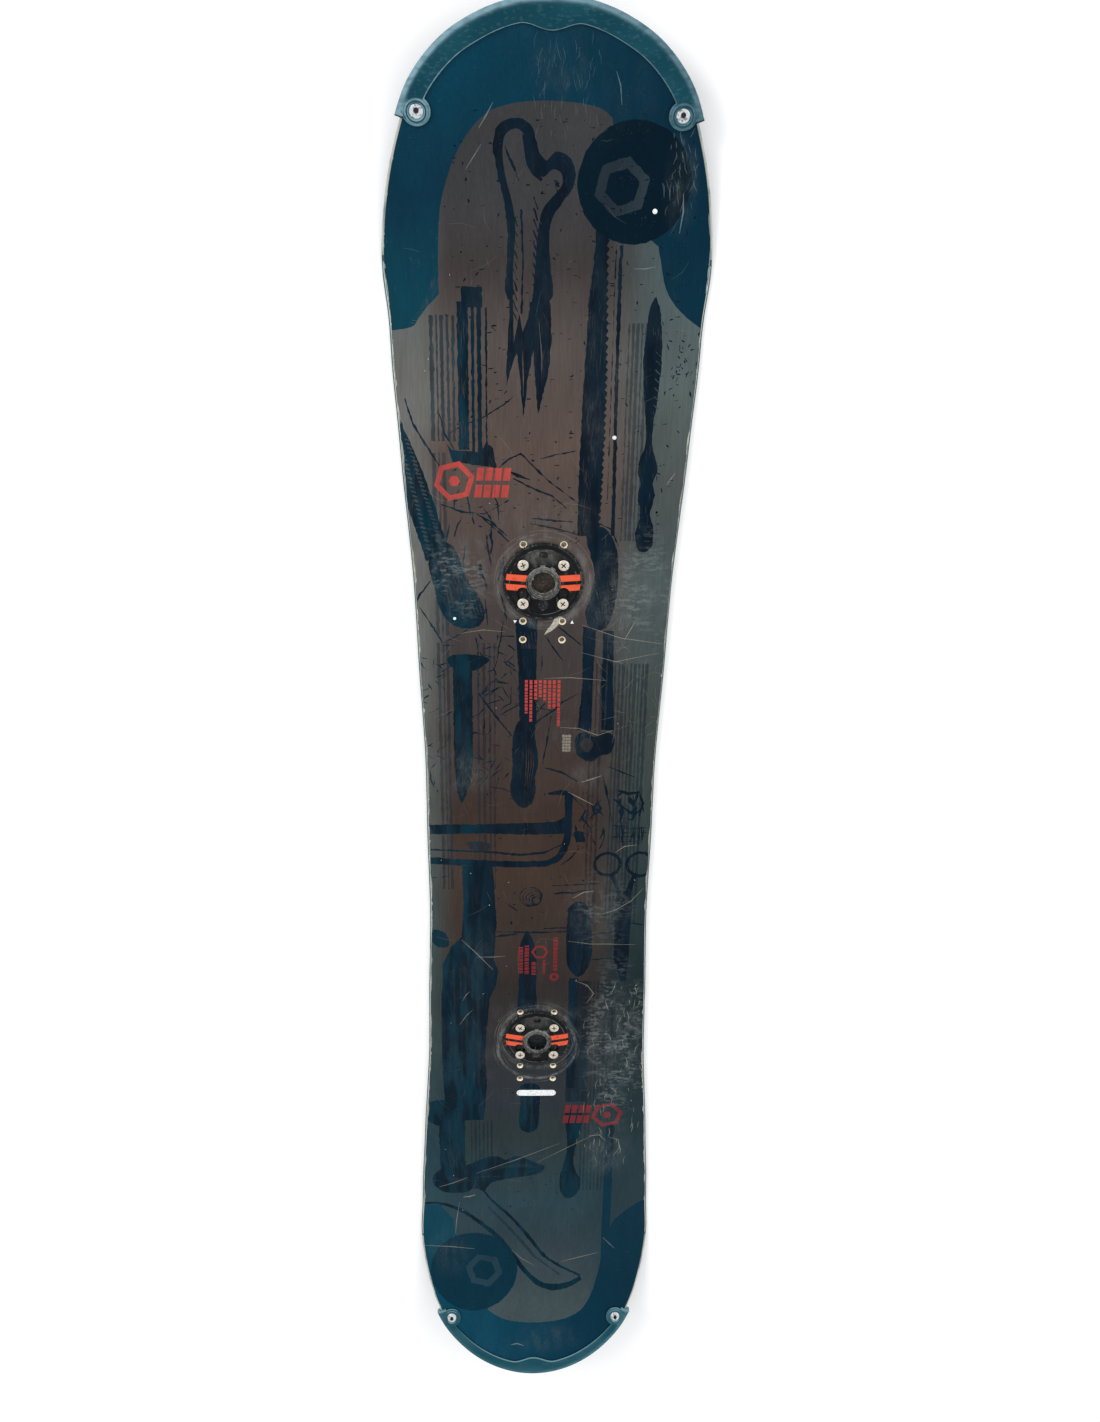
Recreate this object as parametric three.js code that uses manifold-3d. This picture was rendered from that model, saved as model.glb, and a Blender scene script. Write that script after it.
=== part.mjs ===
// A one-piece snowboard with bolt-on nose and tail guards and two quick-release binding discs.
// Millimetres. +Y points to the nose, +X to the right and +Z up, out of the top sheet.
// Inside this file y = 0 is midway between the two insert packs. The finished group is shifted so
// that its origin lies on the running base, under the middle of the board's length.
import * as THREE from "three";
import { mergeVertices } from "three/addons/utils/BufferGeometryUtils.js";
import Module from "manifold-3d";

const wasm = await Module();
wasm.setup();

// ---------------------------------------------------------------- driving dimensions
const GAP = 0.3; // clearance between neighbouring pieces
const FAR = 2000; // larger than the board, for cutting blocks

// Outline of the deck, as [half width, y].
const NOSE_TIP = 792;
const TAIL_TIP = -779;
const HALF_WAIST = 123.3;
const SIDECUT_RADIUS = 6150;
const SIDECUT_END = 500; // the sidecut formula holds this far towards each tip
const SIDECUT_STEP = 50;
const EDGE_WAVE = 0.6; // shallow grip waves along the sidecut
const EDGE_WAVE_PITCH = 200;
const NOSE_OUTLINE = [
  [144.6, 545], [148.7, 595], [142.6, 652], [130.4, 698], [114.5, 735], [89, 763], [60, 780],
  [30, 789.5], [0, NOSE_TIP],
];
const TAIL_OUTLINE = [
  [0, TAIL_TIP], [30, -776], [60, -766.5], [88, -750], [114, -724], [131, -690], [143, -640],
  [147.2, -592], [144.8, -545],
];
const TIP_STEPS = 2; // stations per outline point at the two ends
const TIP_HALF_FLAT = 6; // the tips end in a short straight stretch

// The kicked nose and tail: rise of the tip above the flat running length.
const NOSE_KICK = { start: 562, tip: NOSE_TIP, rise: 54 };
const TAIL_KICK = { start: -569, tip: TAIL_TIP, rise: 58 };

// Layers, from the base up.
const BASE = 1.2;
const LAMINATE = 0.6;
const TOP_SHEET = 0.8;
const CORE_MIDDLE = 4.2;
const CORE_TIP = 0.9;
const CORE_TAPER = { from: 330, to: 640 };
const CORE_END = 600; // the wood core and the sidewalls stop here, the spacers begin
const EDGE_WIDTH = 2.2;
const EDGE_HEIGHT = 2.1;
const SIDEWALL_WIDTH = 6;

// Threaded inserts: two packs of six rows, two holes to a row.
const PACK_CENTRE = 285.5;
const ROW_PITCH = 20;
const ROWS = 6;
const COLUMN = 20; // half the distance between the two columns
const INSERT = { barrel: 3.9, bore: 2.6, flange: 8, flangeHeight: 1.2, floor: 1 };

// Binding discs. The board frame's y of each disc's four screws, and the disc's own shape.
const DISC_SCREW_ROWS = { front: 295.5, rear: -275.5 };
const DISC_SHIFT = 2.3; // the disc's centre is this far towards the nose from its four screws
const DISC = { tipRadius: 40.6, toothDepth: 1.5, teeth: 120, rim: 1.3, bore: 13.2 };
const CONE = [
  [38, DISC.rim], [34, 2.7], [18, 6.3],
];
const SEAT = { radius: 17.7, height: 4.4 }; // the index ring lies here, and the lock ring over it
const SCREW_POCKET = { radius: 6.4, floor: 2.2 };
const SLOT_RADIUS = 3.3;
const LOWER_SLOT_REACH = 11.3; // how far the two lower screw slots run towards the disc's middle
const INDEX_BAR = { inner: 1.9, outer: 8.2, from: 17.8, to: 37.3, depth: 1.2, proud: 0.1 };
const INDEX_RING = { inner: 13.6, outer: 18.3, low: 4.7, high: 5.5 };
const LOCK_RING = { low: 5.8, high: 7.5, outer: 17.2, waist: 13.2, lip: 14.5, lipHeight: 6.6 };
const CUP = { outer: 12.9, inner: 11.6, floor: 1, flange: 14.2, flangeLow: 6.9, high: 7.7, hole: 2.2 };
const LOCK_RING_EAR = { angles: [58, 92, 236], root: 1.5, reach: 2, half: 2.6, below: 0.9, above: 0.1 };
const KEYWAYS = { places: [[-50, 1.7], [-76, 1.3]], root: 1, wall: 0.5, floor: 3 }; // [angle, half width]
const DETENT = { angle: 161, height: 2.7, bore: 2.1, body: 1.8, tip: 1.35, hole: 1.65, nose: 10.2 };
const DETENT_SPRING = { coil: 1.35, wire: 0.3, turns: 4, from: 16.1, to: 21.1 };

const NOSE_MARK = { y: 28.5, radius: 3, spread: 1.5, floor: 1.2 }; // a short slot that points to the nose
const TAIL_POCKET = { half: 13.2, from: 19, to: 33, floor: 2.2 };
const TAIL_RECESS = { y: -24.5, radius: 5.8, floor: 1.2 };
const FOOT_STEP = 0.4; // the underside's edge stands this far in from the tooth roots
const OVER_DISC = 20; // higher than every piece of a disc

// Guards over the nose and tail.
const GUARD = {
  wall: 4.6, toe: 0.6, toeHeight: 1, lip: 2.8, edge: 1.4, lipSlope: 2,
  lug: 12, lugEdge: 0.8, ring: 9.4, ringInner: 7, ringHeight: 0.9, ringSlope: 0.4, ringRound: 0.3,
};
const NOSE_GUARD = { screw: [112, 715], end: 707, side: 14, shoulder: 13, bulge: 6.5, reach: 29 };
const TAIL_GUARD = { screw: [108.5, -716], end: -706, side: 7.5, shoulder: 7.5, bulge: 7, reach: 31 };

// Fasteners.
const DISC_SCREW = {
  head: 5.8, headHeight: 2, crown: 0.5, shank: 2.1, reach: 7.6, recess: 3, recessDepth: 1.1,
};
const RECESS_HALF_WIDTH = 0.6;
const GUARD_SCREW = {
  head: 6, headHeight: 1.7, crown: 0.6, shank: 2.2, seat: 1.3, reach: 4.2, hex: 1.9, hexDepth: 1,
};
const GUARD_NUT = { barrel: 3.3, flange: 5.2, flangeHeight: 0.8, bore: 2.6, rise: 0.2 };
const THROUGH = 9; // longer than any hole through a guard

// How many sides a round shape has.
const SIDES = { hidden: 6, small: 8, head: 10, screw: 12, boss: 18, ring: 24, lock: 28, disc: 40 };
const COIL_SIDES = 8;

// ---------------------------------------------------------------- materials
function paint(color, roughness, metalness = 0) {
  return new THREE.MeshStandardMaterial({ color, roughness, metalness });
}
const MATERIALS = {
  topSheet: paint(0x4d4a4a, 0.45),
  laminate: paint(0xb9b48f, 0.6),
  wood: paint(0xc9a46c, 0.7),
  sidewall: paint(0x1d1f21, 0.55),
  spacer: paint(0x26292b, 0.55),
  base: paint(0x14171a, 0.5),
  steel: paint(0xb8babb, 0.35, 1),
  stainless: paint(0xd6cfc0, 0.32, 1),
  guard: paint(0x1f4450, 0.5),
  plastic: paint(0x17191b, 0.5),
  collar: paint(0x3c3d3c, 0.45),
  index: paint(0xf0502a, 0.4),
};

// ---------------------------------------------------------------- solids
// A closed geometry as a manifold-3d solid facing out.
function solidFrom(geometry) {
  const bare = new THREE.BufferGeometry();
  bare.setAttribute("position", geometry.getAttribute("position"));
  bare.setIndex(geometry.index);
  const merged = mergeVertices(bare, 1e-4);
  const corners = merged.index.array;
  const triangles = [];
  for (let i = 0; i < corners.length; i += 3) {
    const [a, b, c] = corners.slice(i, i + 3);
    if (a !== b && b !== c && c !== a) triangles.push(a, b, c);
  }
  const make = (triVerts) =>
    new wasm.Manifold(
      new wasm.Mesh({
        numProp: 3,
        vertProperties: new Float32Array(merged.attributes.position.array),
        triVerts: new Uint32Array(triVerts),
      }),
    );
  const solid = make(triangles);
  return solid.volume() < 0 ? make(triangles.reverse()) : solid;
}

// A solid turned and moved into place.
function placed(geometry, { turnX = 0, turnZ = 0, at = [0, 0, 0] } = {}) {
  geometry.rotateX(turnX);
  geometry.rotateZ(turnZ);
  geometry.translate(...at);
  return solidFrom(geometry);
}

// A profile of [radius, height] points, closed on itself or on the axis, turned about Z.
function revolved(profile, segments, place) {
  const points = profile.map(([radius, height]) => new THREE.Vector2(radius, height));
  if (profile[0][0] > 0) points.push(points[0].clone());
  const geometry = new THREE.LatheGeometry(points, segments);
  geometry.rotateX(Math.PI / 2);
  return placed(geometry, place);
}

function rod(radius, low, high, segments, x = 0, y = 0) {
  const geometry = new THREE.CylinderGeometry(radius, radius, high - low, segments);
  geometry.rotateX(Math.PI / 2);
  return placed(geometry, { at: [x, y, (low + high) / 2] });
}

function block(x0, x1, y0, y1, z0, z1, turnZ = 0) {
  const geometry = new THREE.BoxGeometry(x1 - x0, y1 - y0, z1 - z0);
  geometry.translate((x0 + x1) / 2, (y0 + y1) / 2, (z0 + z1) / 2);
  return placed(geometry, { turnZ });
}

function prism(points, low, high) {
  const shape = new THREE.Shape(points.map(([x, y]) => new THREE.Vector2(x, y)));
  const geometry = new THREE.ExtrudeGeometry(shape, { depth: high - low, bevelEnabled: false });
  geometry.translate(0, 0, low);
  return placed(indexed(geometry));
}

function indexed(geometry) {
  geometry.deleteAttribute("normal");
  geometry.deleteAttribute("uv");
  return mergeVertices(geometry, 1e-4);
}

// Sections of equal length, each a closed loop of [x, y, z], joined into one body.
function lofted(sections) {
  const count = sections[0].length;
  const index = [];
  for (let row = 0; row + 1 < sections.length; row++) {
    for (let i = 0; i < count; i++) {
      const a = row * count + i;
      const b = row * count + ((i + 1) % count);
      index.push(a, b + count, b, a, a + count, b + count);
    }
  }
  const last = (sections.length - 1) * count;
  for (const [a, b, c] of capTriangles(sections[0])) {
    index.push(a, b, c);
    index.push(last + a, last + c, last + b);
  }
  const geometry = new THREE.BufferGeometry();
  geometry.setAttribute("position", new THREE.Float32BufferAttribute(sections.flat(2), 3));
  geometry.setIndex(index);
  return solidFrom(geometry);
}

// Triangles of one flat section, found in the plane that the section spans.
function capTriangles(section) {
  const points = section.map((p) => new THREE.Vector3(...p));
  const normal = new THREE.Vector3();
  points.forEach((p, i) => normal.add(p.clone().cross(points[(i + 1) % points.length])));
  normal.normalize();
  const across = points[1].clone().sub(points[0]).normalize();
  const up = normal.clone().cross(across);
  const contour = points.map((p) => new THREE.Vector2(p.dot(across), p.dot(up)));
  return THREE.ShapeUtils.triangulateShape(contour, []);
}

function joined(solids) {
  return solids.reduce((sum, solid) => sum.add(solid));
}

// ---------------------------------------------------------------- the board's form
function sidecut(y) {
  const wave = EDGE_WAVE * Math.cos((2 * Math.PI * y) / EDGE_WAVE_PITCH);
  return HALF_WAIST + (y * y) / (2 * SIDECUT_RADIUS) + wave;
}

// The right-hand edge of the deck as one curve from tail tip to nose tip. The first and last
// points mirror their neighbours, so that the curve crosses the middle square on.
function edgeCurve() {
  const points = [[-TAIL_OUTLINE[1][0], TAIL_OUTLINE[1][1]], ...TAIL_OUTLINE];
  for (let y = -SIDECUT_END; y <= SIDECUT_END; y += SIDECUT_STEP) points.push([sidecut(y), y]);
  points.push(...NOSE_OUTLINE, [-NOSE_OUTLINE.at(-2)[0], NOSE_OUTLINE.at(-2)[1]]);
  const curve = new THREE.CatmullRomCurve3(
    points.map(([x, y]) => new THREE.Vector3(x, y, 0)),
    false,
    "centripetal",
  );
  return { curve, spans: points.length - 1 };
}

const EDGE = edgeCurve();

function edgeAt(span) {
  const t = span / EDGE.spans;
  const point = EDGE.curve.getPoint(t);
  const along = EDGE.curve.getTangent(t);
  return { x: point.x, y: point.y, outX: along.y, outY: -along.x };
}

// Stations along the right-hand edge, close together round the two ends.
function edgeStations() {
  const tailSpans = TAIL_OUTLINE.length;
  const noseStart = EDGE.spans - NOSE_OUTLINE.length - 1;
  const stations = [];
  for (let span = 1; span < EDGE.spans - 1; span++) {
    const steps = span < tailSpans || span > noseStart ? TIP_STEPS : 1;
    for (let k = 0; k < steps; k++) stations.push(edgeAt(span + k / steps));
  }
  stations.push(edgeAt(EDGE.spans - 1));
  return stations;
}

const STATIONS = edgeStations();

function kick(y, { start, tip, rise }) {
  const share = (y - start) / (tip - start);
  return share > 0 ? rise * share * share : 0;
}

// Height of the running surface over the ground.
function ground(y) {
  return kick(y, NOSE_KICK) + kick(y, TAIL_KICK);
}

function coreThickness(y) {
  const taper = THREE.MathUtils.smoothstep(Math.abs(y), CORE_TAPER.from, CORE_TAPER.to);
  return THREE.MathUtils.lerp(CORE_MIDDLE, CORE_TIP, taper);
}

const CORE_LOW = BASE + LAMINATE + 2 * GAP;

function deckTop(y) {
  return ground(y) + CORE_LOW + coreThickness(y) + LAMINATE + TOP_SHEET + 2 * GAP;
}

const DECK_MIDDLE = deckTop(0);

// A sheet inside the outline, between two heights over the running surface.
function sheet(inset, low, high) {
  const sections = STATIONS.map(({ x, y, outX, outY }) => {
    const halfWidth = Math.max(x - outX * inset, TIP_HALF_FLAT);
    const along = y - outY * inset;
    const bottom = ground(along) + low(along);
    const top = ground(along) + high(along);
    return [
      [-halfWidth, along, bottom],
      [halfWidth, along, bottom],
      [halfWidth, along, top],
      [-halfWidth, along, top],
    ];
  });
  return lofted(sections);
}

const level = (height) => () => height;
const overCore = (height) => (y) => CORE_LOW + coreThickness(y) + height;

// ---------------------------------------------------------------- holes through the layers
function insertPlaces(side) {
  const centre = side * PACK_CENTRE;
  const places = [];
  for (let row = 0; row < ROWS; row++) {
    const y = centre + (ROW_PITCH * (ROWS - 1)) / 2 - row * ROW_PITCH;
    places.push([-COLUMN, y], [COLUMN, y]);
  }
  return places;
}

const INSERT_PLACES = [...insertPlaces(1), ...insertPlaces(-1)];

// The frame of a guard screw: on the deck, square to its slope.
function guardSeat([x, y]) {
  const step = 1;
  const slope = (deckTop(y + step) - deckTop(y - step)) / (2 * step);
  return { tilt: Math.atan(slope), at: [x, y, deckTop(y)] };
}

const GUARD_SEATS = [NOSE_GUARD, TAIL_GUARD].flatMap(({ screw: [x, y] }) => [
  guardSeat([-x, y]),
  guardSeat([x, y]),
]);

function atSeat(profile, segments, { tilt, at }) {
  return revolved(profile, segments, { turnX: tilt, at });
}

// The corner radius of a many-sided hole whose flats stay clear of a round piece.
function clearing(radius, sides) {
  return (radius + GAP) / Math.cos(Math.PI / sides);
}

function drilledForInserts(solid, sides) {
  const radius = clearing(INSERT.barrel, sides);
  const holes = INSERT_PLACES.map(([x, y]) => rod(radius, -1, DECK_MIDDLE + 1, sides, x, y));
  return solid.subtract(joined(holes));
}

function drilledForGuards(solid, pieceRadius, sides) {
  const radius = clearing(pieceRadius, sides);
  const reach = 12;
  const hole = [[0, -reach], [radius, -reach], [radius, reach], [0, reach]];
  return solid.subtract(joined(GUARD_SEATS.map((seat) => atSeat(hole, sides, seat))));
}

// ---------------------------------------------------------------- layers
function runningBase() {
  const body = sheet(EDGE_WIDTH + GAP, level(0), level(BASE));
  return drilledForGuards(body, GUARD_NUT.flange, SIDES.small);
}

function steelEdge() {
  const outer = sheet(0, level(0), level(EDGE_HEIGHT));
  return outer.subtract(sheet(EDGE_WIDTH, level(-1), level(EDGE_HEIGHT + 1)));
}

function lowerLaminate() {
  const body = sheet(EDGE_WIDTH + GAP, level(BASE + GAP), level(BASE + GAP + LAMINATE));
  return drilledForGuards(body, GUARD_NUT.barrel, SIDES.hidden);
}

function coreBand(inset) {
  return sheet(inset, level(CORE_LOW), overCore(0));
}

function woodCore() {
  const middle = block(-FAR, FAR, -CORE_END, CORE_END, -FAR, FAR);
  const core = coreBand(SIDEWALL_WIDTH + GAP).intersect(middle);
  const half = INSERT.flange + GAP;
  const pocketTop = CORE_LOW + INSERT.flangeHeight + GAP;
  const pockets = INSERT_PLACES.map(([x, y]) =>
    block(x - half, x + half, y - half, y + half, 0, pocketTop),
  );
  return drilledForInserts(core, SIDES.hidden).subtract(joined(pockets));
}

function sidewall(side) {
  const half = block(side > 0 ? 0 : -FAR, side > 0 ? FAR : 0, -CORE_END, CORE_END, -FAR, FAR);
  const inner = sheet(SIDEWALL_WIDTH, level(0), overCore(1));
  return coreBand(0).subtract(inner).intersect(half);
}

function spacer(side) {
  const near = CORE_END + GAP;
  const [from, to] = side > 0 ? [near, FAR] : [-FAR, -near];
  const end = block(-FAR, FAR, from, to, -FAR, FAR);
  return drilledForGuards(coreBand(0).intersect(end), GUARD_NUT.barrel, SIDES.hidden);
}

function upperLaminate() {
  const body = sheet(GAP, overCore(GAP), overCore(GAP + LAMINATE));
  return drilledForGuards(drilledForInserts(body, SIDES.hidden), GUARD_NUT.barrel, SIDES.hidden);
}

function topSheet() {
  const low = 2 * GAP + LAMINATE;
  const body = sheet(0, overCore(low), overCore(low + TOP_SHEET));
  return drilledForGuards(drilledForInserts(body, SIDES.small), GUARD_NUT.barrel, SIDES.small);
}

// ---------------------------------------------------------------- inserts and fasteners
function threadedInsert() {
  const { barrel, bore, flange, flangeHeight, floor } = INSERT;
  const top = DECK_MIDDLE - GAP;
  const profile = [
    [0, CORE_LOW], [flange, CORE_LOW], [flange, CORE_LOW + flangeHeight],
    [barrel, CORE_LOW + flangeHeight], [barrel, top], [bore, top], [bore, CORE_LOW + floor],
    [0, CORE_LOW + floor],
  ];
  return revolved(profile, SIDES.small);
}

// A cross recess cut down from the top of a screw head.
function crossRecess(halfLength, top, depth) {
  const half = RECESS_HALF_WIDTH;
  return block(-halfLength, halfLength, -half, half, top - depth, top + 1).add(
    block(-half, half, -halfLength, halfLength, top - depth, top + 1),
  );
}

function discScrew() {
  const { head, headHeight, crown, shank, reach, recess, recessDepth } = DISC_SCREW;
  const profile = [
    [0, -reach], [shank, -reach], [shank, 0], [head, 0], [head, headHeight - crown],
    [head - crown, headHeight], [0, headHeight],
  ];
  return revolved(profile, SIDES.head).subtract(crossRecess(recess, headHeight, recessDepth));
}

function guardScrew(seat) {
  const { head, headHeight, crown, shank, reach, hex, hexDepth, seat: low } = GUARD_SCREW;
  const top = low + headHeight;
  const profile = [
    [0, -reach], [shank, -reach], [shank, low], [head, low], [head, top - crown], [head - crown, top],
    [0, top],
  ];
  const socket = [[0, top - hexDepth], [hex, top - hexDepth], [hex, top + 1], [0, top + 1]];
  return atSeat(profile, SIDES.screw, seat).subtract(atSeat(socket, 6, seat));
}

function guardNut(seat) {
  const { barrel, flange, flangeHeight, bore, rise } = GUARD_NUT;
  const low = (ground(seat.at[1]) - seat.at[2]) * Math.cos(seat.tilt) + rise;
  const profile = [
    [bore, low], [flange, low], [flange, low + flangeHeight], [barrel, low + flangeHeight],
    [barrel, -GAP], [bore, -GAP],
  ];
  return atSeat(profile, SIDES.small, seat);
}

// ---------------------------------------------------------------- guards
// How far the guard's lip reaches in over the deck, at a given distance from the centre line.
function guardBand({ side, shoulder, bulge, reach }, x) {
  const flank = THREE.MathUtils.smoothstep(Math.abs(x), reach, 2.5 * reach);
  const middle = Math.abs(x) < reach ? (1 + Math.cos((Math.PI * x) / reach)) / 2 : 0;
  return THREE.MathUtils.lerp(shoulder, side, flank) + bulge * middle;
}

function guardSection(guard, { x, y, outX, outY }) {
  const { wall, toe, toeHeight, lip, edge, lipSlope } = GUARD;
  const point = (out, height, over) => {
    const along = y + outY * out;
    return [x + outX * out, along, over(along) + height];
  };
  const band = guardBand(guard, x);
  return [
    point(-band, GAP, deckTop),
    point(GAP, GAP, deckTop),
    point(GAP, GAP, ground),
    point(wall - toe, GAP, ground),
    point(wall, toeHeight, ground),
    point(wall, lip - edge, deckTop),
    point(wall - edge, lip, deckTop),
    point(lipSlope - band, lip, deckTop),
    point(-band, lip - edge, deckTop),
  ];
}

// Edge stations from the guard's end on the right, over the tip, to its end on the left.
function guardStations(guard) {
  const atNose = guard.end > 0;
  const first = atNose ? EDGE.spans - 1 : 1;
  const step = atNose ? -1 / 3 : 1 / 3;
  const right = [];
  for (let span = first; ; span += step) {
    const station = edgeAt(span);
    if (Math.abs(station.y) < Math.abs(guard.end)) break;
    right.push(station);
  }
  const left = right.slice(1).map((s) => ({ ...s, x: -s.x, outX: -s.outX }));
  return [...right.reverse(), ...left];
}

function guardBody(guard) {
  const { lip, lug, lugEdge, ring, ringInner, ringHeight, ringSlope, ringRound } = GUARD;
  const { head, shank, seat: headSeat } = GUARD_SCREW;
  let body = lofted(guardStations(guard).map((station) => guardSection(guard, station)));
  const seats = GUARD_SEATS.filter(({ at }) => Math.sign(at[1]) === Math.sign(guard.end));
  const low = 2 * GAP;
  const boss = [
    [0, low], [lug, low], [lug, lip - lugEdge], [lug - lugEdge, lip], [ring, lip],
    [ring - ringSlope, lip + ringHeight], [ringInner + ringRound, lip + ringHeight], [ringInner, lip],
    [0, lip],
  ];
  const well = [
    [0, headSeat - GAP], [head + GAP, headSeat - GAP], [head + GAP, THROUGH], [0, THROUGH],
  ];
  const hole = [[0, -THROUGH], [shank + GAP, -THROUGH], [shank + GAP, THROUGH], [0, THROUGH]];
  for (const seat of seats) {
    body = body.add(atSeat(boss, SIDES.boss, seat)).subtract(atSeat(well, SIDES.screw, seat));
    body = body.subtract(atSeat(hole, SIDES.small, seat));
  }
  return body;
}

// ---------------------------------------------------------------- binding discs
// In a disc's own frame z = 0 is its underside and y = 0 its centre.
const DISC_SCREWS = [
  [-COLUMN, ROW_PITCH - DISC_SHIFT], [COLUMN, ROW_PITCH - DISC_SHIFT],
  [-COLUMN, -ROW_PITCH - DISC_SHIFT], [COLUMN, -ROW_PITCH - DISC_SHIFT],
];

function toothedRim() {
  const { tipRadius, toothDepth, teeth, rim } = DISC;
  const points = [];
  for (let i = 0; i < 2 * teeth; i++) {
    const radius = i % 2 ? tipRadius : tipRadius - toothDepth;
    const angle = (Math.PI * i) / teeth;
    points.push([radius * Math.cos(angle), radius * Math.sin(angle)]);
  }
  return prism(points, 0, rim);
}

// A round hole for a screw, or a rounded slot from the screw towards the disc's middle.
function screwSlot([x, y]) {
  const [low, high] = [-1, OVER_DISC];
  const end = rod(SLOT_RADIUS, low, high, SIDES.small, x, y);
  if (y > 0) return end;
  return joined([
    end,
    block(x - SLOT_RADIUS, x + SLOT_RADIUS, y, y + LOWER_SLOT_REACH, low, high),
    rod(SLOT_RADIUS, low, high, SIDES.small, x, y + LOWER_SLOT_REACH),
  ]);
}

// The sunk seats of the screw heads. The two lower ones are doubled, where their slots end.
function screwPockets(radius) {
  const centres = DISC_SCREWS.filter(([, y]) => y < 0).map(([x, y]) => [x, y + LOWER_SLOT_REACH]);
  return joined(
    [...DISC_SCREWS, ...centres].map(([x, y]) =>
      rod(radius, SCREW_POCKET.floor, OVER_DISC, SIDES.screw, x, y),
    ),
  );
}

// The layer of the cone between two heights over its surface.
function coneLayer(from, to, below, above) {
  const height = (radius) => {
    const [outer, middle, inner] = CONE;
    const [a, b] = radius > middle[0] ? [outer, middle] : [middle, inner];
    return a[1] + ((a[0] - radius) / (a[0] - b[0])) * (b[1] - a[1]);
  };
  const radii = [from, CONE[1][0], to];
  return revolved(
    [
      ...radii.map((radius) => [radius, height(radius) - below]),
      ...radii.reverse().map((radius) => [radius, height(radius) + above]),
    ],
    SIDES.ring,
  );
}

function indexBars(clearance) {
  const { inner, outer } = INDEX_BAR;
  const bar = (low, high) =>
    block(-FAR, FAR, low - clearance, high + clearance, -OVER_DISC, OVER_DISC);
  return bar(inner, outer).add(bar(-outer, -inner));
}

// The passage for the detent, radial, from the socket out into the disc.
function detentPassage(radius, from, to) {
  const geometry = new THREE.CylinderGeometry(radius, radius, to - from, SIDES.small);
  geometry.rotateZ(Math.PI / 2);
  geometry.translate((from + to) / 2, 0, DETENT.height);
  return placed(geometry, { turnZ: THREE.MathUtils.degToRad(DETENT.angle) });
}

function noseMark() {
  const { y, radius, spread, floor } = NOSE_MARK;
  return joined([-spread, spread].map((x) => rod(radius, floor, OVER_DISC, SIDES.head, x, y)));
}

function tailPocket() {
  const { half, from, to, floor } = TAIL_POCKET;
  const profile = [[from, floor], [to, floor], [to, OVER_DISC], [from, OVER_DISC]];
  const span = block(-half, half, -FAR, 0, 0, OVER_DISC);
  const recess = rod(
    TAIL_RECESS.radius, TAIL_RECESS.floor, OVER_DISC, SIDES.head, 0, TAIL_RECESS.y,
  );
  return revolved(profile, SIDES.ring).intersect(span).add(recess);
}

// The room for the orange bars and for the arms that join them to their ring.
function indexRoom() {
  const { from, to, depth } = INDEX_BAR;
  const bars = coneLayer(from - 2 * GAP, to + GAP, depth + GAP, 2);
  const arms = rod(INDEX_RING.outer + 2 * GAP, SEAT.height, OVER_DISC, SIDES.ring);
  return bars.add(arms).intersect(indexBars(GAP));
}

function discBody() {
  const { rim, bore, tipRadius, toothDepth } = DISC;
  const foot = tipRadius - toothDepth - FOOT_STEP;
  const profile = [
    [bore, 0], [foot, 0], [foot, rim], ...CONE, [SEAT.radius, SEAT.height], [bore, SEAT.height],
  ];
  const room = joined([
    rod(bore, -1, OVER_DISC, SIDES.disc),
    screwPockets(SCREW_POCKET.radius),
    ...DISC_SCREWS.map(screwSlot),
    indexRoom(),
    noseMark(),
    tailPocket(),
    detentPassage(DETENT.bore, bore - 1, DETENT_SPRING.to + GAP),
  ]);
  return revolved(profile, SIDES.disc).add(toothedRim()).subtract(room);
}

function indexMarks() {
  const { from, to, depth, proud } = INDEX_BAR;
  const { inner, outer, low, high } = INDEX_RING;
  const collar = (near, far) => revolved([[near, low], [far, low], [far, high], [near, high]], SIDES.ring);
  const ring = collar(inner, SEAT.radius - GAP);
  const arms = collar(SEAT.radius - 2 * GAP, outer).intersect(indexBars(0));
  const bars = coneLayer(from, to, depth, proud).intersect(indexBars(0));
  return ring.add(arms).add(bars).subtract(screwPockets(SCREW_POCKET.radius + GAP));
}

function lockRing() {
  const { low, high, outer, waist, lip, lipHeight } = LOCK_RING;
  const ear = LOCK_RING_EAR;
  const profile = [
    [waist, low], [outer, low], [outer, high - 0.4], [outer - 0.5, high], [lip, high],
    [lip, lipHeight], [waist, lipHeight],
  ];
  const ears = ear.angles.map((angle) =>
    block(
      outer - ear.root, outer + ear.reach, -ear.half, ear.half, high - ear.below, high - ear.above,
      THREE.MathUtils.degToRad(angle),
    ),
  );
  return joined([revolved(profile, SIDES.lock), ...ears]);
}

function socketCup() {
  const { outer, inner, floor, flange, flangeLow, high, hole } = CUP;
  const profile = [
    [hole, 0], [outer, 0], [outer, flangeLow], [flange, flangeLow], [flange, high - 0.3],
    [flange - 0.4, high], [inner + 0.6, high], [inner, high - 1], [inner, floor], [hole, floor],
  ];
  const keyways = KEYWAYS.places.map(([angle, half]) =>
    block(
      inner - KEYWAYS.root, outer - KEYWAYS.wall, -half, half, KEYWAYS.floor, OVER_DISC,
      THREE.MathUtils.degToRad(angle),
    ),
  );
  const room = joined([...keyways, detentPassage(DETENT.hole, DETENT.nose - 1.2, outer + 2)]);
  return revolved(profile, SIDES.ring).subtract(room);
}

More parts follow.
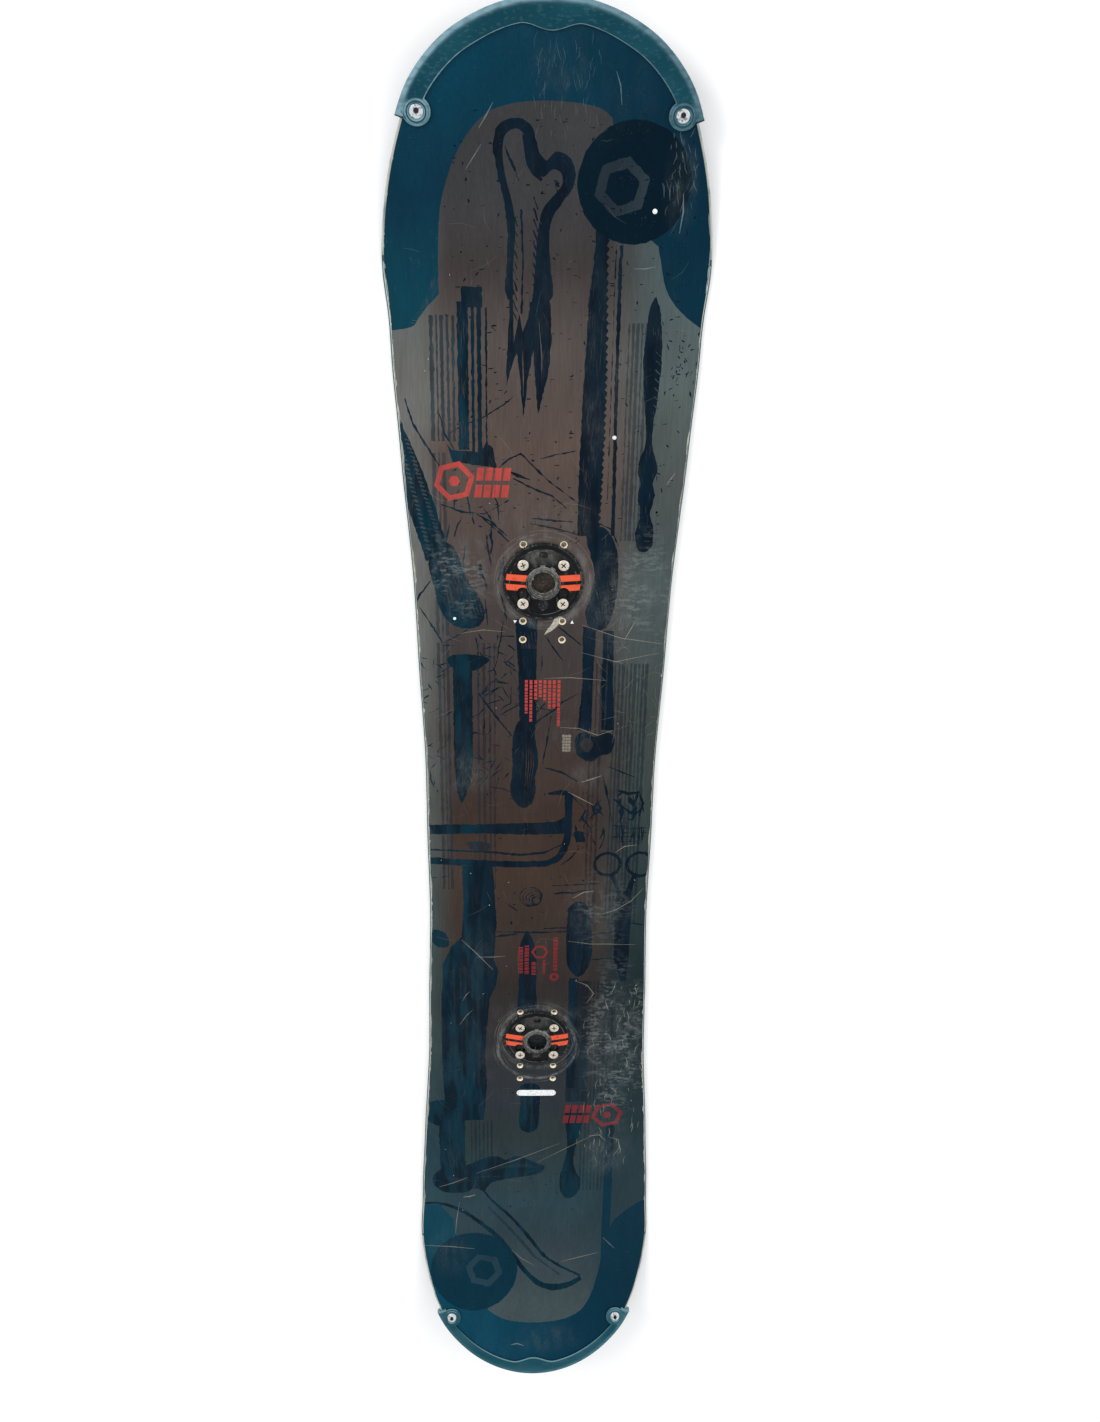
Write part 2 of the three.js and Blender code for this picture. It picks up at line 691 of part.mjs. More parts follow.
// A ball-ended plunger that stands out into the socket by the reach of its tip.
function detentPin() {
  const { body, tip, height, angle, nose } = DETENT;
  const shoulder = CUP.outer + GAP;
  const profile = [
    [0, nose], [0.75 * tip, nose + 0.45 * tip], [tip, nose + tip], [tip, shoulder], [body, shoulder],
    [body, DETENT_SPRING.from - GAP], [0, DETENT_SPRING.from - GAP],
  ];
  const points = profile.map(([radius, along]) => new THREE.Vector2(radius, along));
  const geometry = new THREE.LatheGeometry(points, SIDES.small);
  geometry.rotateZ(-Math.PI / 2);
  geometry.translate(0, 0, height);
  return placed(geometry, { turnZ: THREE.MathUtils.degToRad(angle) });
}

function detentSpring() {
  const { coil, wire, turns, from, to } = DETENT_SPRING;
  const steps = COIL_SIDES * turns;
  const path = [];
  for (let i = 0; i <= steps; i++) {
    const turn = (2 * Math.PI * i) / COIL_SIDES;
    const along = from + wire + ((to - from - 2 * wire) * i) / steps;
    path.push(new THREE.Vector3(along, coil * Math.cos(turn), coil * Math.sin(turn)));
  }
  const section = new THREE.Shape([
    new THREE.Vector2(wire, 0), new THREE.Vector2(0, wire), new THREE.Vector2(-wire, 0),
    new THREE.Vector2(0, -wire),
  ]);
  const geometry = new THREE.ExtrudeGeometry(section, {
    steps,
    extrudePath: new THREE.CatmullRomCurve3(path),
    bevelEnabled: false,
  });
  const bare = indexed(geometry);
  bare.translate(0, 0, DETENT.height);
  return placed(bare, { turnZ: THREE.MathUtils.degToRad(DETENT.angle) });
}

// ---------------------------------------------------------------- assembly
function piece(name, solid, material) {
  const { vertProperties, triVerts } = solid.getMesh();
  const geometry = new THREE.BufferGeometry();
  geometry.setAttribute("position", new THREE.BufferAttribute(new Float32Array(vertProperties), 3));
  geometry.setIndex(new THREE.BufferAttribute(new Uint32Array(triVerts), 1));
  geometry.computeVertexNormals();
  const mesh = new THREE.Mesh(geometry, material);
  mesh.name = name;
  return mesh;
}

function layers() {
  return [
    piece("running_base", runningBase(), MATERIALS.base),
    piece("steel_edge", steelEdge(), MATERIALS.steel),
    piece("lower_laminate", lowerLaminate(), MATERIALS.laminate),
    piece("wood_core", woodCore(), MATERIALS.wood),
    piece("sidewall_left", sidewall(-1), MATERIALS.sidewall),
    piece("sidewall_right", sidewall(1), MATERIALS.sidewall),
    piece("nose_spacer", spacer(1), MATERIALS.spacer),
    piece("tail_spacer", spacer(-1), MATERIALS.spacer),
    piece("upper_laminate", upperLaminate(), MATERIALS.laminate),
    piece("top_sheet", topSheet(), MATERIALS.topSheet),
  ];
}

function guards() {
  const pieces = [
    piece("nose_guard", guardBody(NOSE_GUARD), MATERIALS.guard),
    piece("tail_guard", guardBody(TAIL_GUARD), MATERIALS.guard),
  ];
  GUARD_SEATS.forEach((seat) => {
    const end = seat.at[1] > 0 ? "nose" : "tail";
    const side = seat.at[0] > 0 ? "right" : "left";
    pieces.push(piece(`${end}_guard_screw_${side}`, guardScrew(seat), MATERIALS.stainless));
    pieces.push(piece(`${end}_guard_nut_${side}`, guardNut(seat), MATERIALS.steel));
  });
  return pieces;
}

// The inserts that can be seen and those that hold the disc screws. The row under the middle of
// each disc is empty and out of sight.
function inserts() {
  const body = threadedInsert();
  const pieces = [];
  for (const [foot, side] of [["front", 1], ["rear", -1]]) {
    const middleRow = DISC_SCREW_ROWS[foot];
    for (const [x, y] of insertPlaces(side)) {
      if (Math.abs(y - middleRow) < 1) continue;
      const row = Math.round((side * PACK_CENTRE - y) / ROW_PITCH + ROWS / 2 + 0.5);
      const mesh = piece(`${foot}_insert_${row}_${x > 0 ? "right" : "left"}`, body, MATERIALS.stainless);
      mesh.position.set(x, y, 0);
      pieces.push(mesh);
    }
  }
  return pieces;
}

function disc(foot) {
  const group = new THREE.Group();
  group.position.set(0, DISC_SCREW_ROWS[foot] + DISC_SHIFT, DECK_MIDDLE + GAP);
  group.add(
    piece(`${foot}_disc`, discBody(), MATERIALS.plastic),
    piece(`${foot}_index_marks`, indexMarks(), MATERIALS.index),
    piece(`${foot}_socket_cup`, socketCup(), MATERIALS.plastic),
    piece(`${foot}_lock_ring`, lockRing(), MATERIALS.collar),
    piece(`${foot}_detent_pin`, detentPin(), MATERIALS.stainless),
    piece(`${foot}_detent_spring`, detentSpring(), MATERIALS.steel),
  );
  const screw = discScrew();
  DISC_SCREWS.forEach(([x, y], i) => {
    const mesh = piece(`${foot}_disc_screw_${i + 1}`, screw, MATERIALS.stainless);
    mesh.position.set(x, y, SCREW_POCKET.floor + GAP);
    group.add(mesh);
  });
  return group;
}

const board = new THREE.Group();
board.position.y = -(NOSE_TIP + TAIL_TIP) / 2;
board.add(...layers(), ...guards(), ...inserts(), disc("front"), disc("rear"));

const snowboard = new THREE.Group();
snowboard.add(board);

export default snowboard;
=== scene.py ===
"""A one-piece snowboard with bolt-on end guards and two quick-release binding discs.

The board's pieces are drawn in millimetres, with y = 0 midway between the two insert packs and z = 0
on the running base, and turned into metres in the part's own frame when a mesh is made.
"""
import math
import random

import bmesh
import bpy
import numpy as np
from mathutils import Matrix, Vector, geometry, noise

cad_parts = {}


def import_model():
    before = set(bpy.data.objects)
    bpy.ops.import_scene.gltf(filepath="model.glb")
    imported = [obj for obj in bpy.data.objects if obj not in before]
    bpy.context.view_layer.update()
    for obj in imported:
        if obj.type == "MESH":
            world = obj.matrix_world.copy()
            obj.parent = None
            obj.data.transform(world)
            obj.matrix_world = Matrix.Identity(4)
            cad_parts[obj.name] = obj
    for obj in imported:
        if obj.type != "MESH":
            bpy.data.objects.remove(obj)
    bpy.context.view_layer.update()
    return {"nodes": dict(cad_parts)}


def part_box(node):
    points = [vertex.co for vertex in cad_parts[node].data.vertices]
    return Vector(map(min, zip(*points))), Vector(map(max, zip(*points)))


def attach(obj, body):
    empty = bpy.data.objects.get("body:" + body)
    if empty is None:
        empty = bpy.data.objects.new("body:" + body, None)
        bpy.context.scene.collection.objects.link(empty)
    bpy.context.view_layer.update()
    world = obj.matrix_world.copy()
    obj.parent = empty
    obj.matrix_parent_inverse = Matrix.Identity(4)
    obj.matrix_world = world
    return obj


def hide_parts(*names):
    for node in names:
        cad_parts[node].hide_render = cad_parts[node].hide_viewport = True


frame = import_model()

# ------------------------------------------------------------------ sizes, in millimetres
MM = 0.001
GAP = 0.3


def box_middle(node):
    low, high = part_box(node)
    return (low + high) / (2 * MM)


PACK_Y = (box_middle("front_insert_1_left").y + box_middle("rear_insert_6_left").y) / 2
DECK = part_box("front_disc")[0].z / MM - GAP
DISC_Y = {foot: box_middle(f"{foot}_disc").y - PACK_Y for foot in ("front", "rear")}
DISC_LOW = DECK + GAP

# Outline of the deck, as (half width, y).
NOSE_TIP = 792
TAIL_TIP = -779
HALF_WAIST = 123.3
SIDECUT_RADIUS = 6150
SIDECUT_END = 500
SIDECUT_STEP = 50
EDGE_WAVE = 0.6
EDGE_WAVE_PITCH = 200
NOSE_OUTLINE = [
    (144.6, 545), (148.7, 595), (142.6, 652), (130.4, 698), (114.5, 735), (89, 763), (60, 780),
    (30, 789.5), (0, NOSE_TIP),
]
TAIL_OUTLINE = [
    (0, TAIL_TIP), (30, -776), (60, -766.5), (88, -750), (114, -724), (131, -690), (143, -640),
    (147.2, -592), (144.8, -545),
]
TIP_STEPS = 10
WAIST_STEPS = 4

# Heights.
NOSE_KICK = (562, NOSE_TIP, 54)
TAIL_KICK = (-569, TAIL_TIP, 58)
CORE_LOW = 2.4
CORE_MIDDLE = 4.2
CORE_TIP = 0.9
CORE_TAPER = (330, 640)
CORE_END = 600
SHEET_LOW = 1.2  # underside of the top sheet over the core
SHEET_HIGH = 2.0

# Edges.
STEEL_WIDTH = 2.2
STEEL_HEIGHT = 2.1
STEEL_SHOWN = 1.0  # how much of the steel's top shows outside the sidewall
SIDEWALL_WIDTH = 6
SIDEWALL_LEAN = 2.2  # how far the top sheet's edge stands in from the steel edge
SHEET_CHAMFER = 0.45

# Inserts.
PACK_CENTRE = 285.5
ROW_PITCH = 20
ROWS = 6
COLUMN = 20
INSERT_RADIUS = 3.9

# Screws of the two end guards.
GUARD_SCREWS = [(side * x, y) for x, y in ((112, 715), (108.5, -716)) for side in (-1, 1)]


# ------------------------------------------------------------------ the board's form
def smoothstep(value, low, high):
    share = min(1, max(0, (value - low) / (high - low)))
    return share * share * (3 - 2 * share)


def kick(y, start, tip, rise):
    share = (y - start) / (tip - start)
    return rise * share * share if share > 0 else 0


def ground(y):
    """Height of the running surface over the floor."""
    return kick(y, *NOSE_KICK) + kick(y, *TAIL_KICK)


def core_top(y):
    return CORE_LOW + CORE_MIDDLE + (CORE_TIP - CORE_MIDDLE) * smoothstep(abs(y), *CORE_TAPER)


def over_ground(height):
    return lambda y: ground(y) + height


def over_core(height):
    return lambda y: ground(y) + core_top(y) + height


deck_top = over_core(SHEET_HIGH)


def curve_through(points, steps, closed=False):
    """Centripetal Catmull-Rom curve. Steps is one number, or one for each span."""
    pts = [np.array(p, float) for p in points]
    spans = len(pts) if closed else len(pts) - 1
    if closed:
        padded = [pts[-1], *pts, pts[0], pts[1]]
    else:
        padded = [2 * pts[0] - pts[1], *pts, 2 * pts[-1] - pts[-2]]
    made = []
    for i in range(spans):
        p0, p1, p2, p3 = padded[i : i + 4]
        count = steps[i] if isinstance(steps, list) else steps
        t1 = np.linalg.norm(p1 - p0) ** 0.5
        t2 = t1 + np.linalg.norm(p2 - p1) ** 0.5
        t3 = t2 + np.linalg.norm(p3 - p2) ** 0.5
        for k in range(count):
            t = t1 + (t2 - t1) * k / count
            a1 = p0 + (p1 - p0) * t / t1
            a2 = p1 + (p2 - p1) * (t - t1) / (t2 - t1)
            a3 = p2 + (p3 - p2) * (t - t2) / (t3 - t2)
            b1 = a1 + (a2 - a1) * t / t2
            b2 = a2 + (a3 - a2) * (t - t1) / (t3 - t1)
            made.append(b1 + (b2 - b1) * (t - t1) / (t2 - t1))
    if not closed:
        made.append(pts[-1])
    return made


def sidecut(y):
    wave = EDGE_WAVE * math.cos(2 * math.pi * y / EDGE_WAVE_PITCH)
    return HALF_WAIST + y * y / (2 * SIDECUT_RADIUS) + wave


def edge_points():
    """The right-hand edge from tail tip to nose tip, as (x, y, out x, out y)."""
    middle = [(sidecut(y), y) for y in range(-SIDECUT_END, SIDECUT_END + 1, SIDECUT_STEP)]
    points = [*TAIL_OUTLINE, *middle, *NOSE_OUTLINE]
    mirrored = [(-points[1][0], points[1][1]), *points, (-points[-2][0], points[-2][1])]
    steps = [
        WAIST_STEPS if abs(a[1]) <= SIDECUT_END and abs(b[1]) <= SIDECUT_END else TIP_STEPS
        for a, b in zip(mirrored, mirrored[1:])
    ]
    line = curve_through(mirrored, steps)[steps[0] : -steps[-1]]
    line[0][0] = line[-1][0] = 0
    made = []
    for i, (x, y) in enumerate(line):
        before = line[i - 1] if i else np.array((-line[1][0], line[1][1]))
        after = line[i + 1] if i + 1 < len(line) else np.array((-line[-2][0], line[-2][1]))
        along = (after - before) / np.linalg.norm(after - before)
        made.append((x, y, along[1], -along[0]))
    return made


RIGHT_EDGE = edge_points()
LEFT_EDGE = [(-x, y, -ox, oy) for x, y, ox, oy in reversed(RIGHT_EDGE[1:-1])]
WHOLE_EDGE = RIGHT_EDGE + LEFT_EDGE


def outline(inset):
    return [(x - ox * inset, y - oy * inset) for x, y, ox, oy in WHOLE_EDGE]


def insert_places():
    rows = [ROW_PITCH * ((ROWS - 1) / 2 - row) for row in range(ROWS)]
    return [(x, side * PACK_CENTRE + row) for side in (1, -1) for row in rows for x in (-COLUMN, COLUMN)]


# ------------------------------------------------------------------ meshes
def linked(name, data):
    """A new object in the scene."""
    obj = bpy.data.objects.new(name, data)
    bpy.context.scene.collection.objects.link(obj)
    return obj


def made_object(name, vertices, faces):
    """An object whose mesh is in metres, in the part's frame, from points in board millimetres."""
    mesh = bpy.data.meshes.new(name)
    shifted = (np.array(vertices, float) + (0, PACK_Y, 0)) * MM
    mesh.from_pydata(shifted.tolist(), [], [list(f) for f in faces])
    mesh.validate()
    return linked(name, mesh)


def turn_outward(mesh):
    """Turns every face of a closed mesh outwards."""
    work = bmesh.new()
    work.from_mesh(mesh)
    bmesh.ops.recalc_face_normals(work, faces=work.faces)
    work.to_mesh(mesh)
    work.free()


def finished(obj, body, material, replaces=(), sharp=35):
    """Gives a piece its normals, material and body, and hides the CAD pieces it replaces."""
    turn_outward(obj.data)
    obj.data.shade_smooth()
    obj.data.set_sharp_from_angle(angle=math.radians(sharp))
    if material:
        obj.data.materials.clear()
        obj.data.materials.append(material)
    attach(obj, body)
    if replaces:
        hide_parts(*replaces)
    return obj


def swept(stations, section, closed):
    """Vertices and faces of a section, a list of (out, height function), carried along the edge."""
    sections = []
    for x, y, ox, oy in stations:
        sections.append([(x + ox * out, y + oy * out, height(y + oy * out)) for out, height in section])
    return lofted(sections, closed)


def lofted(sections, closed):
    """Vertices and faces of a row of sections with as many points in each."""
    count = len(sections[0])
    vertices = [point for section in sections for point in section]
    rows = len(sections)
    faces = []
    for row in range(rows if closed else rows - 1):
        after = (row + 1) % rows
        for i in range(count):
            j = (i + 1) % count
            faces.append((row * count + i, row * count + j, after * count + j, after * count + i))
    if not closed:
        faces.append(tuple(reversed(range(count))))
        faces.append(tuple(range((rows - 1) * count, rows * count)))
    return vertices, faces


def turned(profile, segments, centre=(0, 0), start=0.0):
    """Vertices and faces of a profile of (radius, height), turned about Z. It may touch the axis."""
    vertices = []
    rings = []
    for radius, height in profile:
        if radius < 1e-6:
            rings.append([len(vertices)])
            vertices.append((centre[0], centre[1], height))
            continue
        rings.append(list(range(len(vertices), len(vertices) + segments)))
        for k in range(segments):
            angle = start + 2 * math.pi * k / segments
            vertices.append(
                (centre[0] + radius * math.cos(angle), centre[1] + radius * math.sin(angle), height)
            )
    faces = []
    closed_pairs = list(zip(rings, rings[1:]))
    if len(rings[0]) > 1:
        closed_pairs.append((rings[-1], rings[0]))
    for low, high in closed_pairs:
        for k in range(segments):
            nxt = (k + 1) % segments
            corners = [low[k % len(low)], low[nxt % len(low)], high[nxt % len(high)], high[k % len(high)]]
            unique = list(dict.fromkeys(corners))
            if len(unique) > 2:
                faces.append(tuple(unique))
    return vertices, faces


def prism(points, low, high):
    count = len(points)
    vertices = [(x, y, low) for x, y in points] + [(x, y, high) for x, y in points]
    faces = [tuple(reversed(range(count))), tuple(range(count, 2 * count))]
    for i in range(count):
        j = (i + 1) % count
        faces.append((i, j, count + j, count + i))
    return vertices, faces


def cut_mesh(obj, cutter, operation="DIFFERENCE"):
    """Cuts, joins or keeps what is common with another closed mesh, given as (vertices, faces)."""
    tool = made_object("cutter", *cutter)
    turn_outward(obj.data)
    turn_outward(tool.data)
    cut_with(obj, tool, operation)


def cut_with(obj, tool, operation="DIFFERENCE"):
    """The same with an object, which is used up."""
    modifier = obj.modifiers.new("cut", "BOOLEAN")
    modifier.solver = "MANIFOLD"
    modifier.operation = operation
    modifier.object = tool
    applied(obj)
    bpy.data.objects.remove(tool)


def applied(obj):
    """Applies the object's modifiers to its mesh."""
    graph = bpy.context.evaluated_depsgraph_get()
    mesh = bpy.data.meshes.new_from_object(obj.evaluated_get(graph))
    obj.modifiers.clear()
    old = obj.data
    obj.data = mesh
    bpy.data.meshes.remove(old)


def bevelled(obj, width, segments=2, angle=40):
    modifier = obj.modifiers.new("edges", "BEVEL")
    modifier.width = width * MM
    modifier.segments = segments
    modifier.angle_limit = math.radians(angle)
    modifier.limit_method = "ANGLE"
    applied(obj)


def copied(obj, name, place, turn=0.0):
    """A copy of a pattern made about the board's origin, turned about Z and set at a place."""
    twin = linked(name, obj.data.copy())
    origin = Vector((0, PACK_Y, 0)) * MM
    back = Matrix.Translation(-origin)
    there = Matrix.Translation(Vector(place) * MM + origin)
    twin.data.transform(there @ Matrix.Rotation(turn, 4, "Z") @ back)
    return twin


def level_shading(obj):
    """Keeps the flat faces of a piece flat where they meet rounded ones."""
    obj.modifiers.new("normals", "WEIGHTED_NORMAL")


def circle(x, y, radius, count=32):
    turn = 2 * math.pi / count
    return [(x + radius * math.cos(k * turn), y + radius * math.sin(k * turn)) for k in range(count)]


def arc(x, y, radius, start, end, steps):
    """Points on part of a circle, from one angle to another in degrees."""
    angles = [math.radians(start + (end - start) * k / steps) for k in range(steps + 1)]
    return [(x + radius * math.cos(a), y + radius * math.sin(a)) for a in angles]


def spun(points, turn):
    """Points turned about the origin."""
    cosine, sine = math.cos(turn), math.sin(turn)
    return [(x * cosine - y * sine, x * sine + y * cosine) for x, y in points]


# ------------------------------------------------------------------ plates cut to the outline
TIP_STRIP = 5  # a plate is bent along lines this far apart in the kicks
TAPER_STRIP = 15
KICK_LINE = 560
BEYOND_EDGE = 200


def bend_lines():
    taper = list(range(CORE_TAPER[0], KICK_LINE, TAPER_STRIP))
    lines = [*taper, *range(KICK_LINE, NOSE_TIP + 2 * TIP_STRIP, TIP_STRIP)]
    return sorted(lines + [-y for y in lines])


BEND_LINES = bend_lines()


def bent(height):
    """A height function that keeps to the straight chords between the bend lines."""
    known = [height(line) for line in BEND_LINES]
    return lambda y: float(np.interp(y, BEND_LINES, known))


def within(points, loop):
    """Which of the points, an array of rows, lie inside a closed loop."""
    low, high = np.min(loop, 0), np.max(loop, 0)
    inside = np.zeros(len(points), bool)
    near = np.flatnonzero(((points >= low) & (points <= high)).all(1))
    x, y = points[near, 0, None], points[near, 1, None]
    (ax, ay), (bx, by) = np.array(loop).T, np.roll(loop, -1, 0).T
    slope = (bx - ax) / np.where(by == ay, 1, by - ay)
    right = x < ax + (y - ay) * slope
    turns = (((ay <= y) & (by > y)) & right).sum(1) - (((ay > y) & (by <= y)) & right).sum(1)
    inside[near] = turns != 0
    return inside


def plate(name, inset, low, high, holes, chamfer=(0, 0), shapes=()):
    """A closed sheet inside the outline. Shapes are outlines printed on its top, each over the last.

    Returns the object and, for each of its top faces, the numbers of the shapes that lie on it.
    """
    loops = [outline(inset), *[circle(x, y, r) for x, y, r in holes], *shapes]
    points = []
    edges = []
    for loop in loops:
        first, count = len(points), len(loop)
        edges += [(first + i, first + (i + 1) % count) for i in range(count)]
        points += [Vector((float(x), float(y))) for x, y in loop]
    for y in BEND_LINES:
        edges.append((len(points), len(points) + 1))
        points += [Vector((-BEYOND_EDGE, y)), Vector((BEYOND_EDGE, y))]
    flat, _, triangles, _, _, _ = geometry.delaunay_2d_cdt(points, edges, [], 0, 1e-4)
    places = np.array(flat)
    middles = places[np.array([list(t) for t in triangles])].mean(1)
    keep = within(middles, loops[0])
    for loop in loops[1 : 1 + len(holes)]:
        keep &= ~within(middles, loop)
    kept = [list(triangles[i]) for i in np.flatnonzero(keep)]
    middles = middles[keep]
    printed = [[] for _ in kept]
    for number, loop in enumerate(shapes):
        for face in np.flatnonzero(within(middles, loop)):
            printed[face].append(number)
    return rimmed(name, flat, kept, low, high, chamfer), printed


def rimmed(name, flat, triangles, low, high, chamfer):
    """Lifts flat triangles to a closed sheet with a chamfered outer rim."""
    out, drop = chamfer
    low, high = bent(low), bent(high)
    used = sorted({v for t in triangles for v in t})
    number = {v: i for i, v in enumerate(used)}
    count = len(used)
    top = [(flat[v].x, flat[v].y, high(flat[v].y)) for v in used]
    triangles = [[number[v] for v in t] for t in triangles]
    directed = {}
    for a, b, c in triangles:
        for pair in ((a, b), (b, c), (c, a)):
            directed[pair] = directed.get(pair, 0) + 1
    border = {a: b for a, b in directed if (b, a) not in directed}
    back = {b: a for a, b in border.items()}
    outer = set()
    start = max(border, key=lambda v: top[v][1])
    walk = start
    while walk not in outer:
        outer.add(walk)
        walk = border[walk]
    bottom = []
    middle = {}
    for i, (x, y, _) in enumerate(top):
        if i in outer and out:
            ax, ay, _ = top[back[i]]
            bx, by, _ = top[border[i]]
            size = math.hypot(bx - ax, by - ay)
            x, y = x + out * (by - ay) / size, y - out * (bx - ax) / size
            middle[i] = 2 * count + len(middle)
        bottom.append((x, y, low(y)))
    ring = [(bottom[i][0], bottom[i][1], high(bottom[i][1]) - drop) for i in middle]
    faces = list(triangles)
    faces += [(a + count, c + count, b + count) for a, b, c in triangles]
    for a, b in border.items():
        if a in middle:
            faces.append((b, a, middle[a], middle[b]))
            faces.append((middle[b], middle[a], a + count, b + count))
        else:
            faces.append((b, a, a + count, b + count))
    return made_object(name, [*top, *bottom, *ring], faces)


# ------------------------------------------------------------------ the print on the top sheet
# Each kind of area as (ink, red, surround, bare). The adding kinds only change what they cross.
KINDS = {
    "panel": (0, 0, 0, 0),
    "surround": (0, 0, 1, 0),
    "emblem": (0.92, 0, 1, 0),
    "ink": (1, 0, 0, 0),
    "stripe": (0.72, 0, 0, 0),
    "faint": (0.52, 0, 0, 0),
    "glyph": (0.35, 0, 0.45, 0),
    "hatch": (0, 0, 0.45, 0),
    "red": (0, 1, 0, 0),
    "label": (0, 0, 0, 1),
    "chip": (0, 0, 0, 0.7),
    "dry": (-0.3, 0, 0, 0),
    "scratch": (0, 0, 0, 0.3),
    "fine_scratch": (0, 0, 0, 0.12),
}
ADDING = ("dry", "scratch", "fine_scratch")
RESETTING = ("panel", "glyph", "hatch")  # these replace the surround as well
INK_STEP = 3.0  # the inked outlines wander a little, like a hand print


def bar(x0, x1, y0, y1):
    return [(x0, y0), (x1, y0), (x1, y1), (x0, y1)]


def stroke(points, width, taper=0.0):
    """A band along a line of points. Taper is the share of its width lost at both ends."""
    line = [np.array(p, float) for p in points]
    left = []
    right = []
    for i, p in enumerate(line):
        along = line[min(i + 1, len(line) - 1)] - line[max(i - 1, 0)]
        side = np.array((-along[1], along[0])) / max(np.linalg.norm(along), 1e-6)
        share = abs(2 * i / (len(line) - 1) - 1) if len(line) > 1 else 0
        half = width / 2 * (1 - taper * share)
        left.append(tuple(p + side * half))
        right.append(tuple(p - side * half))
    return left + right[::-1]


def ring(x, y, outer, inner, count=48, start=0.0):
    """A ring with a hairline slit, so that it stays one outline."""
    turn = (2 * math.pi - 0.02) / count
    angles = [start + turn * k for k in range(count + 1)]
    outside = [(x + outer * math.cos(a), y + outer * math.sin(a)) for a in angles]
    inside = [(x + inner * math.cos(a), y + inner * math.sin(a)) for a in reversed(angles)]
    return outside + inside


def blob(*points):
    """A smooth closed outline."""
    return [tuple(p) for p in curve_through(points, 4, closed=True)]


def curve(points, steps=4):
    """A smooth open line."""
    return [tuple(p) for p in curve_through(points, steps)]


def inked(*outlines):
    return [("ink", outline) for outline in outlines]


def lines_down(places, y0, y1, kind="stripe"):
    return [(kind, bar(x - w / 2, x + w / 2, y0, y1)) for x, w in places]


def wandering(points, amount):
    """Breaks an outline into short lengths and lets them wander."""
    made = []
    for (ax, ay), (bx, by) in zip(points, [*points[1:], points[0]]):
        size = math.hypot(bx - ax, by - ay)
        if size < 1e-6:
            continue
        count = max(1, round(size / INK_STEP))
        nx, ny = (by - ay) / size, (ax - bx) / size
        for k in range(count):
            share = k / count
            x, y = ax + (bx - ax) * share, ay + (by - ay) * share
            off = amount * noise.noise(Vector((x * 0.21, y * 0.21, 3.7)))
            off += amount * noise.noise(Vector((x * 0.63, y * 0.63, 9.1)))
            made.append((x + nx * off, y + ny * off))
    return made


def nose_field():
    """The dark nose with the panel's arch, a plain disc and a hexagonal nut."""
    arch = curve(
        [(-98, 568), (-98, 600), (-95, 640), (-88, 665), (-80, 683), (-66, 703), (-50, 716),
         (-30, 722), (0, 724), (30, 722), (45, 718), (53, 712)], 3)
    corner = curve([(99, 611), (102, 598), (108, 575), (118, 560), (132, 548), (150, 536)], 3)
    foot = curve([(-160, 534), (-142, 536), (-128, 538), (-121, 541), (-117, 547), (-110, 556)], 3)
    panel = [(-170, 520), *foot, *arch, (60, 640), *corner, (170, 520)]
    shapes = [("surround", bar(-170, 170, 526, 830)), ("panel", panel)]
    shapes.append(("emblem", circle(74.5, 662, 49.5, 72)))
    shapes.append(("glyph", ring(64, 659, 25, 15.5, 6, 0.3)))
    for k in range(12):
        x, low = -99.5 - 1.5 * k, 571 - 2.2 * k
        shapes.append(("hatch", stroke([(x, low), (x + 1.5, low + 24 - 1.5 * k)], 0.7, 0.7)))
        shapes.append(("hatch", stroke([(x - 10, low - 6), (x - 5, low - 2 - k / 2)], 0.7, 0.7)))
    return shapes


def pry_bar():
    """An open-ended spanner head on a bar that ends in a split claw."""
    head = blob((-46, 690), (-42, 704), (-30, 709), (-18, 705), (-13, 692), (-9, 682), (-2, 677), (6, 684),
                (15, 681), (21, 671), (19, 659), (11, 648), (3, 637), (-1, 618), (1, 590), (2, 566),
                (-15, 560), (-34, 566), (-34, 596), (-34, 626), (-37, 646), (-42, 668))
    claw = [(1, 575), (3, 560), (5, 530), (2, 498), (-7, 462), (-10, 492), (-12, 520), (-16, 500), (-21, 458),
            (-24, 492), (-27, 520), (-32, 505), (-37, 487), (-36, 520), (-34, 560), (-34, 575)]
    face = blob((-40, 688), (-37, 699), (-29, 703), (-22, 699), (-18, 687), (-14, 674), (-5, 666), (3, 672),
                (10, 670), (12, 661), (4, 651), (-5, 640), (-9, 620), (-11, 592), (-14, 562), (-20, 548),
                (-27, 556), (-31, 580), (-30, 605), (-29, 628), (-32, 646), (-38, 668))
    light = [(-15, 568), (-17, 548), (-22, 536), (-25, 552), (-30, 526), (-31, 568)]
    jaw = curve([(-22, 699), (-19, 687), (-14, 672), (-6, 663)], 3)
    marks = [*inked(head, claw), ("panel", face), ("ink", stroke([*head, head[0]], 4.5)), ("panel", light),
             ("ink", stroke(jaw, 7, 0.6)), ("ink", stroke([(-24, 640), (-22, 600), (-23, 552)], 1.6)),
             ("panel", stroke([(-7, 545), (-4, 515), (-4, 495)], 1.3, 0.8)),
             ("panel", stroke([(-22, 520), (-21, 495), (-21, 478)], 1.0, 0.8))]
    for k in range(10):
        marks.append(("ink", stroke([(-31, 636 - 9 * k), (-27, 626 - 9 * k)], 1.1)))
        marks.append(("ink", stroke([(-13, 650 - 9 * k), (-9, 640 - 9 * k)], 1.3)))
        marks.append(("ink", stroke([(-38 + k, 690 - 2 * k), (-35 + k, 681 - 2 * k)], 0.8)))
        marks.append(("ink", stroke([(4 + k / 2, 664 - 1.5 * k), (9 + k / 2, 661 - 1.5 * k)], 0.7)))
    return marks


